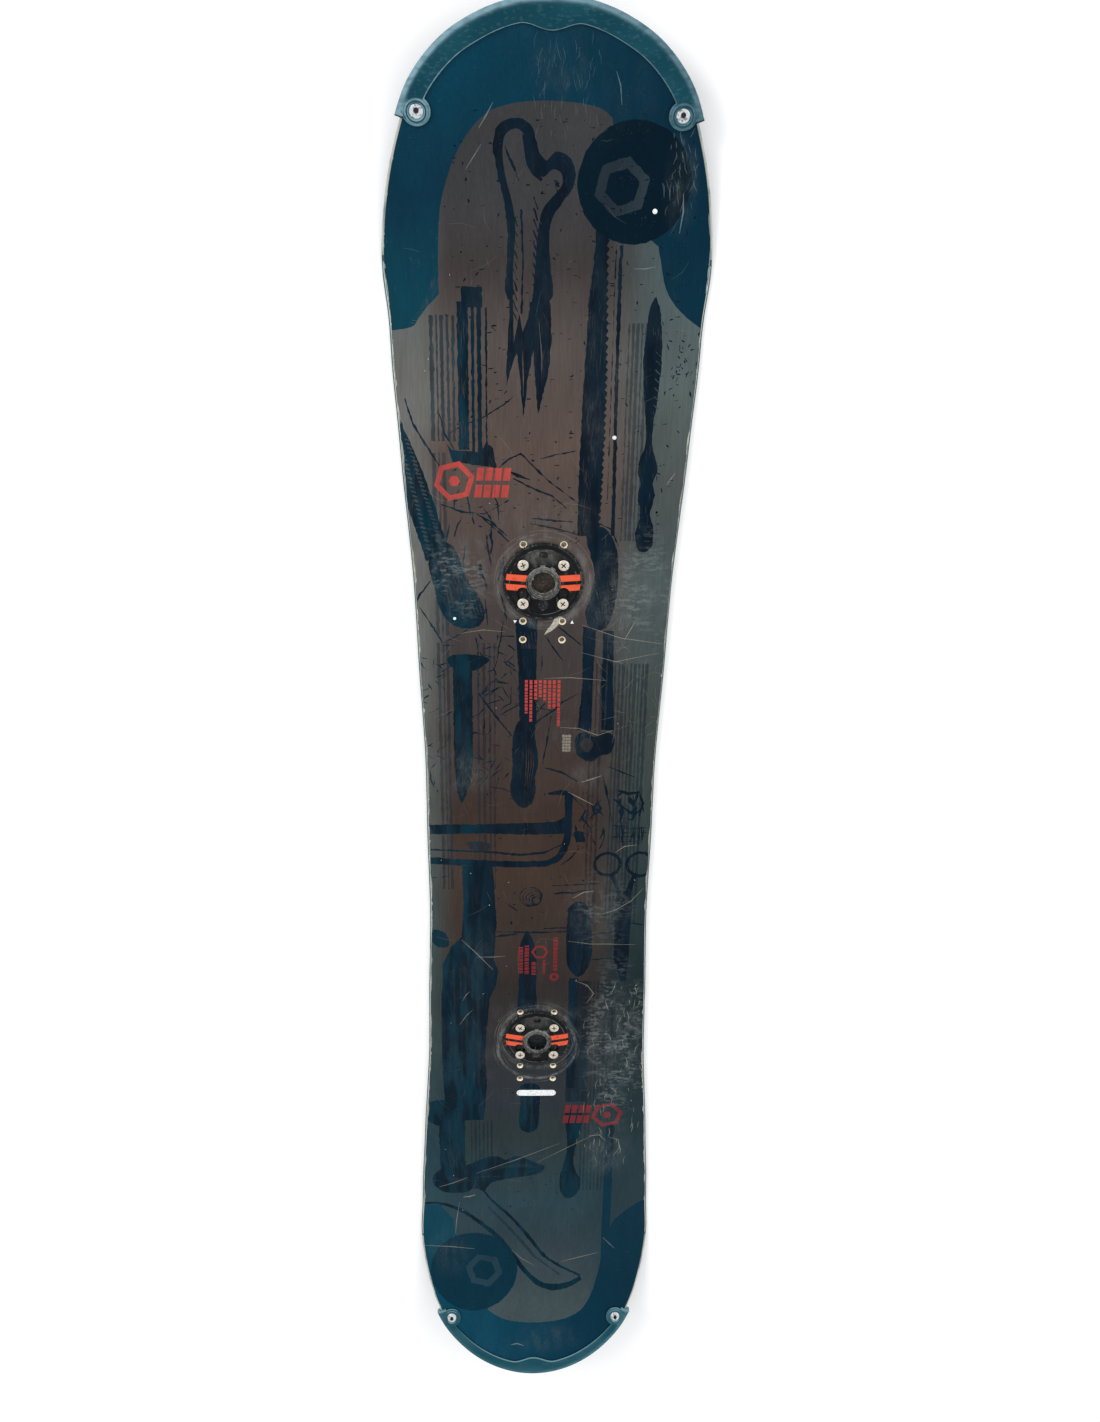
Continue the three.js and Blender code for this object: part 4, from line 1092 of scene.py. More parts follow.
class Paint:
    """One node material. Its place is in the board's millimetres."""

    def __init__(self, name):
        self.material = bpy.data.materials.new(name)
        self.material.use_nodes = True
        self.tree = self.material.node_tree
        self.shader = self.tree.nodes["Principled BSDF"]
        where = self.add("ShaderNodeTexCoord").outputs["Object"]
        self.place = self.vector("MULTIPLY_ADD", Wire(self.tree, where), (1000, 1000, 1000), (0, -PACK_Y, 0))
        self.x, self.y, self.z = self.split("ShaderNodeSeparateXYZ", self.place)

    def add(self, kind, **settings):
        node = self.tree.nodes.new(kind)
        for name, value in settings.items():
            setattr(node, name, value)
        return node

    def vector(self, operation, *values):
        node = self.add("ShaderNodeVectorMath", operation=operation)
        for socket, value in zip(node.inputs, values):
            feed(self.tree, socket, value)
        out = "Value" if operation in ("LENGTH", "DOT_PRODUCT") else "Vector"
        return Wire(self.tree, node.outputs[out])

    def split(self, kind, wire):
        """The three parts of a vector or a colour."""
        node = self.add(kind)
        feed(self.tree, node.inputs[0], wire)
        return [Wire(self.tree, output) for output in node.outputs]

    def noise(self, size, detail=3, stretch=(1, 1, 1), seed=0.0):
        """Soft noise around 0.5, with features of about that size in millimetres."""
        return self.noise_of(self.place, size, detail, stretch, seed)

    def noise_of(self, place, size, detail, stretch, seed):
        scale = tuple(1 / (size * s) for s in stretch)
        node = self.add("ShaderNodeTexNoise")
        feed(self.tree, node.inputs["Vector"], self.vector("MULTIPLY_ADD", place, scale, (seed, seed, seed)))
        node.inputs["Scale"].default_value = 1
        node.inputs["Detail"].default_value = detail
        return Wire(self.tree, node.outputs[0])

    def mix(self, share, a, b):
        node = self.add("ShaderNodeMix", data_type="RGBA")
        feed(self.tree, node.inputs[0], share)
        feed(self.tree, node.inputs[6], a)
        feed(self.tree, node.inputs[7], b)
        return Wire(self.tree, node.outputs[2])

    def ramp(self, wire, stops):
        """Colours at places along a wire's value, as (place, colour)."""
        low, high = stops[0][0], stops[-1][0]
        node = self.add("ShaderNodeValToRGB")
        feed(self.tree, node.inputs[0], (wire - low) * (1 / (high - low)))
        elements = node.color_ramp.elements
        while len(elements) < len(stops):
            elements.new(1)
        for element, (place, colour) in zip(elements, stops):
            element.position = (place - low) / (high - low)
            element.color = (*colour, 1)
        return Wire(self.tree, node.outputs[0])

    def zone(self, x, y, half_x, half_y):
        """1 in the middle of an oval area and 0 outside it."""
        scale, shift = (1 / half_x, 1 / half_y, 0), (-x / half_x, -y / half_y, 0)
        offset = self.vector("MULTIPLY_ADD", self.place, scale, shift)
        return self.vector("LENGTH", offset).rising(1, 0.2)

    def band(self, x, y, radius, width):
        """1 on a circle and 0 off it."""
        offset = self.vector("MULTIPLY_ADD", self.place, (1, 1, 0), (-x, -y, 0))
        return (self.vector("LENGTH", offset) - radius).made("ABSOLUTE").rising(width, 0)

    def over_disc(self, low, high):
        """The height over a disc's underside, rising from low to high."""
        return self.z.rising(DISC_LOW + low, DISC_LOW + high)

    def finish(self, colour, roughness, metallic=0.0, specular=0.5, bump=None, depth=0.05):
        """Feeds the shader. Depth is the bump's height in millimetres."""
        inputs = self.shader.inputs
        feed(self.tree, inputs["Base Color"], colour)
        feed(self.tree, inputs["Roughness"], roughness)
        inputs["Metallic"].default_value = metallic
        inputs["Specular IOR Level"].default_value = specular
        if bump:
            node = self.add("ShaderNodeBump")
            node.inputs["Distance"].default_value = depth * MM
            feed(self.tree, node.inputs["Height"], bump)
            feed(self.tree, inputs["Normal"], Wire(self.tree, node.outputs[0]))
        return self.material


# Colours of the film along the board, as (y, colour): its middle, its two sides and its dark ends.
PANEL = [
    (-750, (0.052, 0.076, 0.081)), (-705, (0.052, 0.075, 0.080)), (-610, (0.029, 0.048, 0.059)),
    (-545, (0.022, 0.050, 0.063)), (-430, (0.022, 0.035, 0.036)), (-375, (0.025, 0.032, 0.038)),
    (-195, (0.031, 0.024, 0.022)), (-55, (0.052, 0.033, 0.024)), (30, (0.046, 0.028, 0.021)),
    (225, (0.051, 0.042, 0.040)), (430, (0.095, 0.066, 0.055)), (520, (0.084, 0.069, 0.062)),
    (590, (0.046, 0.038, 0.036)), (650, (0.043, 0.043, 0.045)), (760, (0.043, 0.043, 0.045)),
]
LEFT_SIDE = [
    (-640, (0.030, 0.072, 0.088)), (-440, (0.016, 0.048, 0.063)), (-250, (0.040, 0.066, 0.063)),
    (-70, (0.058, 0.099, 0.102)), (160, (0.135, 0.149, 0.138)), (380, (0.166, 0.172, 0.161)),
    (500, (0.126, 0.126, 0.116)), (620, (0.120, 0.140, 0.140)),
]
RIGHT_SIDE = [
    (-640, (0.020, 0.041, 0.051)), (-460, (0.018, 0.039, 0.047)), (-240, (0.007, 0.016, 0.019)),
    (-80, (0.021, 0.038, 0.039)), (150, (0.050, 0.061, 0.057)), (300, (0.066, 0.086, 0.087)),
    (400, (0.067, 0.078, 0.075)), (500, (0.084, 0.110, 0.106)), (620, (0.070, 0.098, 0.100)),
]
SURROUND = [
    (-780, (0.002, 0.054, 0.096)), (-600, (0.002, 0.050, 0.078)), (560, (0.003, 0.044, 0.068)),
    (650, (0.002, 0.028, 0.052)), (790, (0.002, 0.050, 0.086)),
]
SURROUND_SHADE = (0.001, 0.021, 0.040)
EMBLEM_NOSE = (0.000, 0.007, 0.014)
EMBLEM_TAIL = (0.001, 0.024, 0.042)
INK_NOSE = (0.002, 0.011, 0.021)
INK_TAIL = (0.001, 0.023, 0.038)
INK_LEFT = (0.002, 0.025, 0.041)
INK_DARK = (0.001, 0.004, 0.009)
RED_NOSE = (0.44, 0.056, 0.046)
RED_TAIL = (0.18, 0.020, 0.022)
BARE = (0.54, 0.50, 0.40)
BARE_NOSE = (0.36, 0.44, 0.45)
LABEL = (0.86, 0.88, 0.88)
HAZE = (0.22, 0.24, 0.23)
# Worn areas as (x, y, half width, half length, amount), and worn circles as (x, y, radius, width, amount).
HAZE_ZONES = [
    (96, -285, 46, 110, 1.0), (88, -445, 40, 70, 0.6), (80, 275, 58, 80, 0.55), (-85, 82, 45, 40, 0.5),
    (-80, 310, 48, 60, 0.6), (50, 78, 34, 28, 0.5), (70, -90, 50, 60, 0.5), (10, 745, 40, 26, 0.2),
    (20, -742, 60, 22, 0.3), (116, 660, 20, 50, 0.4), (-70, -150, 30, 60, 0.2), (60, 470, 40, 90, 0.25),
    (-110, -620, 40, 50, 0.3), (35, 125, 40, 28, 0.35), (0, 360, 70, 34, 0.5), (0, -236, 66, 24, 0.6),
    (-60, -300, 30, 60, 0.2),
]
SCUFF_ZONES = [
    (94, -280, 52, 150, 1.3), (96, 285, 48, 90, 0.9), (-84, 310, 44, 70, 1.0), (70, -90, 50, 70, 0.5),
]
SCUFF = (0.15, 0.175, 0.170)
HAIRLINE = (0.34, 0.36, 0.34)
WEAR_RINGS = [
    (0, DISC_Y["front"], 45, 8, 1.0), (0, DISC_Y["rear"] - 14, 47, 3, 3.0),
    (0, DISC_Y["rear"], 44, 6, 0.8),
]


def film_under(paint):
    """The colour of the sheet under its ink."""
    middle = paint.ramp(paint.y, PANEL)
    left = paint.ramp(paint.y, LEFT_SIDE)
    right = paint.ramp(paint.y, RIGHT_SIDE)
    drift = paint.noise(60, 2, (0.5, 3, 1), 4.2) * 24
    broad = paint.y.rising(420, 480) * paint.y.rising(560, 520) * -16
    sides = paint.mix((paint.x + drift + broad).rising(-128, -76), left, middle)
    return paint.mix((paint.x + drift).rising(60, 122), sides, right)


def film_surround(paint):
    """The dark colour of the nose and tail, deeper towards the right."""
    shade = paint.x.rising(-120, 150) * 0.9 + paint.noise(90, 2, seed=8.8) * 0.3
    return paint.mix(shade - 0.15, paint.ramp(paint.y, SURROUND), SURROUND_SHADE)


def film_ink(paint):
    """The colour of the ink, bluer towards the tail and the left."""
    base = paint.mix(paint.y.rising(-450, -100), INK_TAIL, INK_NOSE)
    base = paint.mix(paint.x.rising(-48, -84) * paint.y.rising(600, 500), base, INK_LEFT)
    return paint.mix(paint.noise(26, 3, (0.4, 2.2, 1), 1.3).rising(0.42, 0.62) * 0.7, base, INK_DARK)


def worn_ink(paint):
    """How much of the ink is left, with dry streaks along the board."""
    streaks = paint.noise(1.2, 3, (0.7, 16, 1), 2.1).rising(0.56, 0.70)
    patches = paint.noise(30, 3, (0.7, 2, 1), 6.6).rising(0.40, 0.75)
    return (streaks * patches * 0.3 + patches * 0.03) * -1 + 1


def film_haze(paint):
    """Scuffs: more in some areas, broken into fine scratches and smears."""
    zones = [paint.zone(*zone) * amount for *zone, amount in HAZE_ZONES]
    rings = [paint.band(*band) * amount for *band, amount in WEAR_RINGS]
    total = added(zones + rings)
    smear = paint.noise(16, 4, (0.6, 1.6, 1), 5.1).rising(0.36, 0.74)
    grain = paint.noise(1.6, 4, (0.7, 3.0, 1), 3.9).rising(0.38, 0.70)
    ever = paint.noise(120, 2, seed=7.4).rising(0.4, 0.7) * 0.10
    return ((total + ever) * (smear * 0.8 + 0.15) * (grain * 0.6 + 0.4)).made("MINIMUM", 1.0)


def scuffs(paint):
    """Crisp, rather level rub marks in a few areas."""
    total = added(paint.zone(*zone) * amount for *zone, amount in SCUFF_ZONES)
    marks = paint.noise(3.6, 6, (1.9, 0.8, 1), 8.1).rising(0.47, 0.60)
    return (total * marks * paint.noise(26, 3, seed=4.9).rising(0.38, 0.60)).made("MINIMUM", 1.0)


def hairlines(paint):
    """Straight hairline scratches, most of them along the board and some across it."""
    lines = []
    for seed, turn, share in ((11.0, 0.12, 0.735), (17.0, -0.35, 0.745), (23.0, 1.15, 0.75)):
        node = paint.add("ShaderNodeVectorRotate", rotation_type="Z_AXIS")
        feed(paint.tree, node.inputs["Vector"], paint.place)
        node.inputs["Angle"].default_value = turn
        field = paint.noise_of(Wire(paint.tree, node.outputs[0]), 0.55, 2, (1, 70, 1), seed)
        areas = paint.noise(38, 2, seed=seed + 1).rising(0.45, 0.62)
        lines.append(field.rising(share - 0.03, share + 0.02) * areas)
    return added(lines)


def film_paint():
    """The printed film: its colours, ink, red marks, haze, scuffs, scratches and bare places."""
    paint = Paint("printed film")
    attribute = paint.add("ShaderNodeAttribute", attribute_name="print")
    printed = Wire(paint.tree, attribute.outputs["Color"])
    ink, red, surround = paint.split("ShaderNodeSeparateColor", printed)
    bare = Wire(paint.tree, attribute.outputs["Alpha"])
    colour = paint.mix(surround, film_under(paint), film_surround(paint))
    emblem = paint.mix(paint.y.rising(-10, 10), EMBLEM_TAIL, EMBLEM_NOSE)
    dark = paint.mix(surround, film_ink(paint), emblem)
    colour = paint.mix(ink * worn_ink(paint), colour, dark)
    red_ink = paint.mix(paint.y.rising(-200, 180), RED_TAIL, RED_NOSE)
    rubbed = paint.noise(5, 4, seed=9.3).rising(0.66, 0.46) * 0.3 + 0.7
    colour = paint.mix(red * rubbed, colour, red_ink)
    cloud = paint.noise(34, 4, (0.8, 2.0, 1), 12.5).rising(0.35, 0.65)
    brushed = paint.noise(1.6, 3, (1, 16, 1), 14.5).rising(0.35, 0.65)
    colour = paint.mix(cloud * 0.12 + brushed * 0.12, colour, INK_DARK)
    haze = film_haze(paint)
    colour = paint.mix(haze * 0.42, colour, HAZE)
    colour = paint.mix(scuffs(paint) * 0.55, colour, SCUFF)
    scratches = hairlines(paint)
    colour = paint.mix(scratches * (haze * 0.7 + 0.14), colour, HAIRLINE)
    chipped = paint.noise(1.1, 3, seed=2.7).rising(0.36, 0.56) * 0.4 + 0.6
    opened = paint.mix(paint.y.rising(420, 600), BARE, BARE_NOSE)
    colour = paint.mix(bare * chipped, colour, paint.mix(bare.rising(0.72, 0.95), opened, LABEL))
    roughness = haze * 0.25 + bare * 0.2 + 0.4
    relief = paint.noise(0.9, 2, seed=3.3) * 0.25 - ink * 0.12 - bare * 0.8
    return paint.finish(colour, roughness, specular=0.04, bump=relief, depth=0.05)


def rim_paint():
    """The edge of the film: dark, with pale chips."""
    paint = Paint("film edge")
    chips = paint.noise(2.6, 4, (1, 3.5, 1), 1.9) + paint.noise(90, 2, seed=4.4) * 0.5
    left = paint.x.rising(0, -40) * paint.y.rising(-420, -300) * 0.05
    share = (chips + left).rising(0.86, 0.92)
    colour = paint.mix(share, (0.012, 0.024, 0.030), (0.46, 0.46, 0.40))
    return paint.finish(colour, share * 0.2 + 0.45, specular=0.3)


def worn_paint(name, colour, worn, roughness, size=6, share=(0.45, 0.75), metallic=0.0, specular=0.4,
               depth=0.04, grain=0.6, stretch=(1, 1, 1)):
    """A plain colour that is rubbed to a second one in patches, with a fine grain."""
    paint = Paint(name)
    patches = paint.noise(size, 4, stretch, 2.4).rising(*share)
    fine = paint.noise(grain, 3, stretch, 6.1)
    mixed = paint.mix(patches * (fine * 0.8 + 0.5), colour, worn)
    uneven = fine * 0.2 + patches * 0.06 + (roughness - 0.12)
    return paint.finish(mixed, uneven, metallic, specular, fine, depth)


# Painted shade for the nose guard's inner lip and painted highlight for the tail guard's inner lip.
LIP_SHADE = (0.001, 0.018, 0.028)
LIP_HIGHLIGHT = (0.20, 0.34, 0.38)


def deck_normal(paint, kicked):
    """The deck's own upward direction in a kick."""
    start, tip, rise = kicked
    node = paint.add("ShaderNodeCombineXYZ")
    feed(paint.tree, node.inputs["Y"], (paint.y - start) * (-2 * rise / (tip - start) ** 2))
    node.inputs["Z"].default_value = 1
    return paint.vector("NORMALIZE", Wire(paint.tree, node.outputs[0]))


# pale is the colour of both the painted highlight and the scratches; along is the x range over which the
# highlight grows stronger.
def guard_paint(name, low, high, pale, along, kicked):
    """The guard's satin plastic with fine scratches along it. Its rounded faces get a painted highlight,
    stronger towards one side; the nose guard's inner lip gets painted shade and the tail guard's inner lip a
    painted highlight.
    """
    paint = Paint(name)
    normal = Wire(paint.tree, paint.add("ShaderNodeNewGeometry").outputs["Normal"])
    level = paint.vector("DOT_PRODUCT", deck_normal(paint, kicked), normal)
    patches = paint.noise(22, 4, (2, 1, 1), 1.1).rising(0.35, 0.68)
    colour = paint.mix(patches, low, high)
    streaks = paint.noise(2.4, 4, (2, 1, 1), 5.5).rising(0.52, 0.70)
    side = paint.x.rising(*along) * 0.65 + 0.35
    worn = paint.noise(5, 4, (2.5, 1, 1), 7.2).rising(0.30, 0.62) * 0.5 + 0.5
    # Painted highlight on the rounded faces, which tilt away from the deck: stronger towards one side and
    # broken up in patches.
    colour = paint.mix(level.rising(0.9995, 0.972) * side * worn, colour, pale)
    # Fine scratches in the same pale colour.
    colour = paint.mix(streaks * 0.10, colour, pale)
    ahead = paint.split("ShaderNodeSeparateXYZ", normal)[1]
    # Painted shade on the nose guard's inner lip, which faces the tail.
    colour = paint.mix(ahead.rising(-0.68, -0.88) * paint.y.rising(-100, 100), colour, LIP_SHADE)
    # Painted highlight on the tail guard's inner lip, which faces the nose.
    colour = paint.mix(ahead.rising(0.66, 0.86) * paint.y.rising(100, -100) * 0.8, colour, LIP_HIGHLIGHT)
    fine = paint.noise(0.7, 3, seed=3.1)
    return paint.finish(colour, fine * 0.2 + 0.46, specular=0.08, bump=fine, depth=0.06)


def dusty_paint():
    """Black moulding with pale dust in its hollows and on its rim, a painted highlight with dust on its nose
    side, painted shade on the outer slope of its cone and a pale shoulder, partly rubbed and partly painted
    highlight.
    """
    paint = Paint("disc plastic")
    dust = paint.noise(7, 4, (1, 1.4, 1), 5.8).rising(0.50, 0.72)
    fine = paint.noise(0.6, 3, seed=1.4)
    top = paint.over_disc(3, 6.6)
    colour = paint.mix(dust * (fine + 0.2) * 0.5, (0.003, 0.004, 0.005), (0.050, 0.050, 0.046))
    colour = paint.mix(top * dust * 0.3, colour, (0.10, 0.10, 0.09))
    # Painted highlight with dust on the nose side of each disc's cone.
    ahead = added(paint.zone(0, y + 30, 26, 15) * paint.over_disc(2.4, 3) for y in DISC_Y.values())
    colour = paint.mix(ahead * (dust * 0.5 + 0.3), colour, (0.11, 0.11, 0.10))
    # Painted shade on the outer slope of the cone, between the rim and the shoulder.
    steep_cone_painted_shade = paint.over_disc(1.3, 1.6) * paint.over_disc(2.9, 2.5)
    colour = paint.mix(steep_cone_painted_shade * 0.85, colour, (0.002, 0.002, 0.003))
    # A pale band on the cone's shoulder in patches: rubbing and a painted highlight.
    shoulder = paint.over_disc(2.55, 2.7) * paint.over_disc(2.95, 2.75)
    rubbed = paint.noise(9, 3, seed=6.4).rising(0.45, 0.6)
    colour = paint.mix(shoulder * rubbed * 0.5, colour, (0.16, 0.16, 0.15))
    low = paint.over_disc(1.5, 0.9)
    colour = paint.mix(low * (dust * 0.4 + 0.3), colour, (0.075, 0.078, 0.074))
    specks_of_dust = paint.noise(2.2, 3, seed=9.9).rising(0.52, 0.64)
    colour = paint.mix(low * specks_of_dust * 0.7, colour, (0.30, 0.30, 0.27))
    return paint.finish(colour, dust * 0.2 + 0.36, specular=0.13, bump=fine, depth=0.04)


def collar_paint():
    """The lock ring: black and rubbed pale in patches, with a painted highlight on its nose side and pale
    edges, partly rubbed and partly painted highlight.
    """
    paint = Paint("lock ring plastic")
    rubbed = paint.noise(2.4, 4, seed=4.6).rising(0.40, 0.64)
    # Painted highlight on the nose side of each lock ring.
    ahead = paint.y.rising(DISC_Y["front"] + 2, DISC_Y["front"] + 12)
    ahead = ahead + paint.y.rising(DISC_Y["rear"] + 2, DISC_Y["rear"] + 12) * paint.y.rising(0, -10)
    # The ring's two edges, paler: rubbing and a painted highlight.
    edge = added(paint.band(0, y, 17.0, 0.55) + paint.band(0, y, 14.7, 0.5) for y in DISC_Y.values())
    colour = paint.mix(rubbed * 0.2 + ahead * 0.45, (0.006, 0.007, 0.008), (0.20, 0.20, 0.18))
    colour = paint.mix(edge * (rubbed * 0.5 + 0.2), colour, (0.34, 0.34, 0.31))
    return paint.finish(colour, rubbed * 0.2 + 0.38, specular=0.25, bump=rubbed, depth=0.04)


def cup_paint():
    """The socket cup: dark walls and floor. The front cup has painted light with dust on its tail-side wall
    and a brown dusty floor; the rear cup has painted highlight streaks on its wall and a dark floor; each
    flange top is paler, with dust and a painted highlight.
    """
    paint = Paint("socket cup")
    dust = paint.noise(3, 4, seed=5.2).rising(0.38, 0.66)
    floor = paint.over_disc(2.2, 1.2)
    front = paint.y.rising(0, 10)
    # Painted light with dust on the tail-side wall of the front cup.
    lower = paint.y.rising(DISC_Y["front"] - 3, DISC_Y["front"] - 9) * paint.over_disc(7, 5)
    front_wall_painted_light = paint.mix(lower * (dust * 0.6 + 0.4), (0.008, 0.009, 0.009), (0.42, 0.39, 0.32))
    # Pale upright streaks on the rear cup's wall: painted highlights.
    streaks = paint.noise(1.2, 3, (1, 1, 8), 4.3).rising(0.55, 0.68)
    wall = paint.mix(streaks * 0.7, (0.002, 0.005, 0.006), (0.14, 0.18, 0.18))
    mixed = paint.mix(front, wall, front_wall_painted_light)
    brown = paint.mix(dust, (0.012, 0.008, 0.006), (0.045, 0.032, 0.024))
    dark = paint.mix(dust, (0.002, 0.004, 0.005), (0.007, 0.014, 0.016))
    mixed = paint.mix(floor, mixed, paint.mix(front, dark, brown))
    # A paler flange top: dust and a painted highlight.
    lip = paint.over_disc(6.9, 7.2)
    mixed = paint.mix(lip * (dust * 0.5 + 0.2), mixed, (0.20, 0.20, 0.18))
    return paint.finish(mixed, dust * 0.15 + 0.42, specular=0.2)


def screw_paint():
    """The disc screws: pale worn heads with grime in patches, dark in the cross and round the side of the
    head.
    """
    paint = Paint("disc screw steel")
    grime = paint.noise(1.8, 3, seed=3.8).rising(0.5, 0.7)
    # Dark below the head's top: in the cross and round the side of the head.
    cross = paint.over_disc(3.9, 3.6)
    colour = paint.mix(grime * 0.6, (0.66, 0.60, 0.50), (0.22, 0.18, 0.13))
    colour = paint.mix(cross, colour, (0.02, 0.018, 0.016))
    return paint.finish(colour, grime * 0.25 + 0.36, metallic=0.55, bump=grime, depth=0.05)


def guard_screw_paint():
    """Bright zinc, stained dark in patches, with painted shade in the socket."""
    paint = Paint("guard screw zinc")
    stain = paint.noise(2.2, 4, seed=6.9).rising(0.48, 0.64)
    colour = paint.mix(stain * 0.75, (0.60, 0.64, 0.65), (0.07, 0.085, 0.09))
    # Painted shade in each screw's hex socket.
    socket_painted_shade = added(paint.zone(x, y, 3.1, 3.1).rising(0.1, 0.45) for x, y in GUARD_SCREWS)
    colour = paint.mix(socket_painted_shade, colour, (0.01, 0.011, 0.012))
    return paint.finish(colour, stain * 0.25 + 0.34, metallic=0.35, bump=stain, depth=0.06)


def insert_paint():
    """Bright worn steel, dark in the thread."""
    paint = Paint("insert steel")
    grime = paint.noise(1.6, 3, seed=7.7).rising(0.5, 0.72)
    deep = paint.z.rising(DECK - 1.4, DECK - 4.5)
    bright = paint.mix(grime * 0.6, (0.84, 0.77, 0.60), (0.26, 0.21, 0.14))
    inside = paint.mix(grime, (0.42, 0.32, 0.20), (0.20, 0.14, 0.08))
    return paint.finish(paint.mix(deep, bright, inside), grime * 0.25 + 0.34, metallic=0.3)


def core_paint():
    """Light wood in upright staves."""
    paint = Paint("core wood")
    staves = (paint.x * 0.4).made("SINE").rising(-0.2, 0.2)
    grain = paint.noise(3, 3, (0.5, 20, 1), 2.2)
    colour = paint.mix(grain, paint.mix(staves, (0.50, 0.33, 0.17), (0.62, 0.44, 0.25)), (0.36, 0.22, 0.10))
    return paint.finish(colour, grain * 0.2 + 0.45, bump=grain, depth=0.05)


def all_paints():
    return {
        "film": film_paint(),
        "rim": rim_paint(),
        "laminate": worn_paint("laminate edge", (0.10, 0.115, 0.10), (0.26, 0.25, 0.20), 0.5, 9,
                               stretch=(1, 4, 1)),
        "sidewall": worn_paint("sidewall plastic", (0.50, 0.52, 0.46), (0.10, 0.15, 0.15), 0.5, 7,
                               stretch=(1, 5, 1)),
        "base": worn_paint("base plastic", (0.012, 0.015, 0.018), (0.03, 0.035, 0.04), 0.42, 30, (0.4, 0.7),
                           stretch=(0.4, 6, 1), depth=0.03),
        "steel": worn_paint("edge steel", (0.055, 0.105, 0.110), (0.30, 0.33, 0.31), 0.40, 8, (0.60, 0.76),
                            0.45, stretch=(1, 4, 1)),
        "stainless": worn_paint("screw steel", (0.60, 0.56, 0.48), (0.20, 0.17, 0.12), 0.36, 2.5,
                                (0.5, 0.7), 0.7),
        "screws": screw_paint(),
        "guard screws": guard_screw_paint(),
        # Each guard's third colour is its painted highlight and scratch colour.
        "nose guard": guard_paint("nose guard plastic", (0.003, 0.044, 0.064), (0.006, 0.058, 0.080),
                                  (0.190, 0.320, 0.370), (170, -60), NOSE_KICK),
        "tail guard": guard_paint("tail guard plastic", (0.006, 0.056, 0.078), (0.018, 0.078, 0.102),
                                  (0.055, 0.150, 0.185), (-120, 120), TAIL_KICK),
        "disc": dusty_paint(),
        "orange": worn_paint("index orange", (0.71, 0.098, 0.044), (0.50, 0.058, 0.024), 0.42, 6, (0.5, 0.75),
                             specular=0.08),
        "collar": collar_paint(),
        "cup": cup_paint(),
        "insert": insert_paint(),
        "core": core_paint(),
    }


# ------------------------------------------------------------------ the board's layers
GUARD_HOLE = 3.6
NUT_HOLE = 5.5
SLIT = 0.02  # between two layers that touch
BASE_THICKNESS = 1.2


def bores():
    """The holes through the deck for the inserts and the guard screws, as (x, y, radius)."""
    inserts_through = [(x, y, INSERT_RADIUS) for x, y in insert_places()]
    return inserts_through + [(x, y, GUARD_HOLE) for x, y in GUARD_SCREWS]


def laid(kinds, numbers):
    """What is left on top where these shapes lie over each other."""
    amounts = [0, 0, 0, 0]
    for number in numbers:
        for i, value in enumerate(KINDS[kinds[number]]):
            if kinds[number] in ADDING:
                amounts[i] = min(1, max(0, amounts[i] + value))
            else:
                amounts[i] = value if i != 2 or value or kinds[number] in RESETTING else amounts[i]
    return amounts


def top_sheet(paints):
    """The film, with what is printed on each face kept as a colour of its corners."""
    shapes = whole_print()
    sheet, printed = plate(
        "printed_top_sheet", SIDEWALL_LEAN + SHEET_CHAMFER, over_core(SHEET_LOW), deck_top, bores(),
        (SHEET_CHAMFER, SHEET_CHAMFER), [points for _, points in shapes])
    kinds = [kind for kind, _ in shapes]
    colours = np.zeros((len(sheet.data.loops), 4), np.float32)
    for face, numbers in enumerate(printed):
        colours[3 * face : 3 * face + 3] = laid(kinds, numbers)
    layer = sheet.data.color_attributes.new("print", "FLOAT_COLOR", "CORNER")
    layer.data.foreach_set("color", colours.ravel())
    sheet.data.materials.append(paints["film"])
    sheet.data.materials.append(paints["rim"])
    for polygon in sheet.data.polygons[len(printed) :]:
        polygon.material_index = 1
    return finished(sheet, "board", None, ["top_sheet"])


def inner_layers(paints):
    """The laminate under the top sheet, and the running base."""
    under, over = over_core(SLIT), over_core(SHEET_LOW - SLIT)
    laminate, _ = plate("deck_laminate", SIDEWALL_LEAN, under, over, bores())
    finished(laminate, "board", paints["laminate"], ["upper_laminate"])
    holes = [(x, y, NUT_HOLE) for x, y in GUARD_SCREWS]
    base, _ = plate("ground_base", STEEL_WIDTH + SLIT, over_ground(0), over_ground(BASE_THICKNESS), holes)
    finished(base, "board", paints["base"], ["running_base"])


def steel_edge(paints):
    section = [(-STEEL_WIDTH, over_ground(0)), (-0.2, over_ground(0)), (0, over_ground(0.2)),
               (0, over_ground(STEEL_HEIGHT - 0.35)), (-0.3, over_ground(STEEL_HEIGHT)),
               (-STEEL_WIDTH, over_ground(STEEL_HEIGHT))]
    made = made_object("ground_steel_edge", *swept(WHOLE_EDGE, section, True))
    finished(made, "board", paints["steel"], ["steel_edge"], sharp=30)


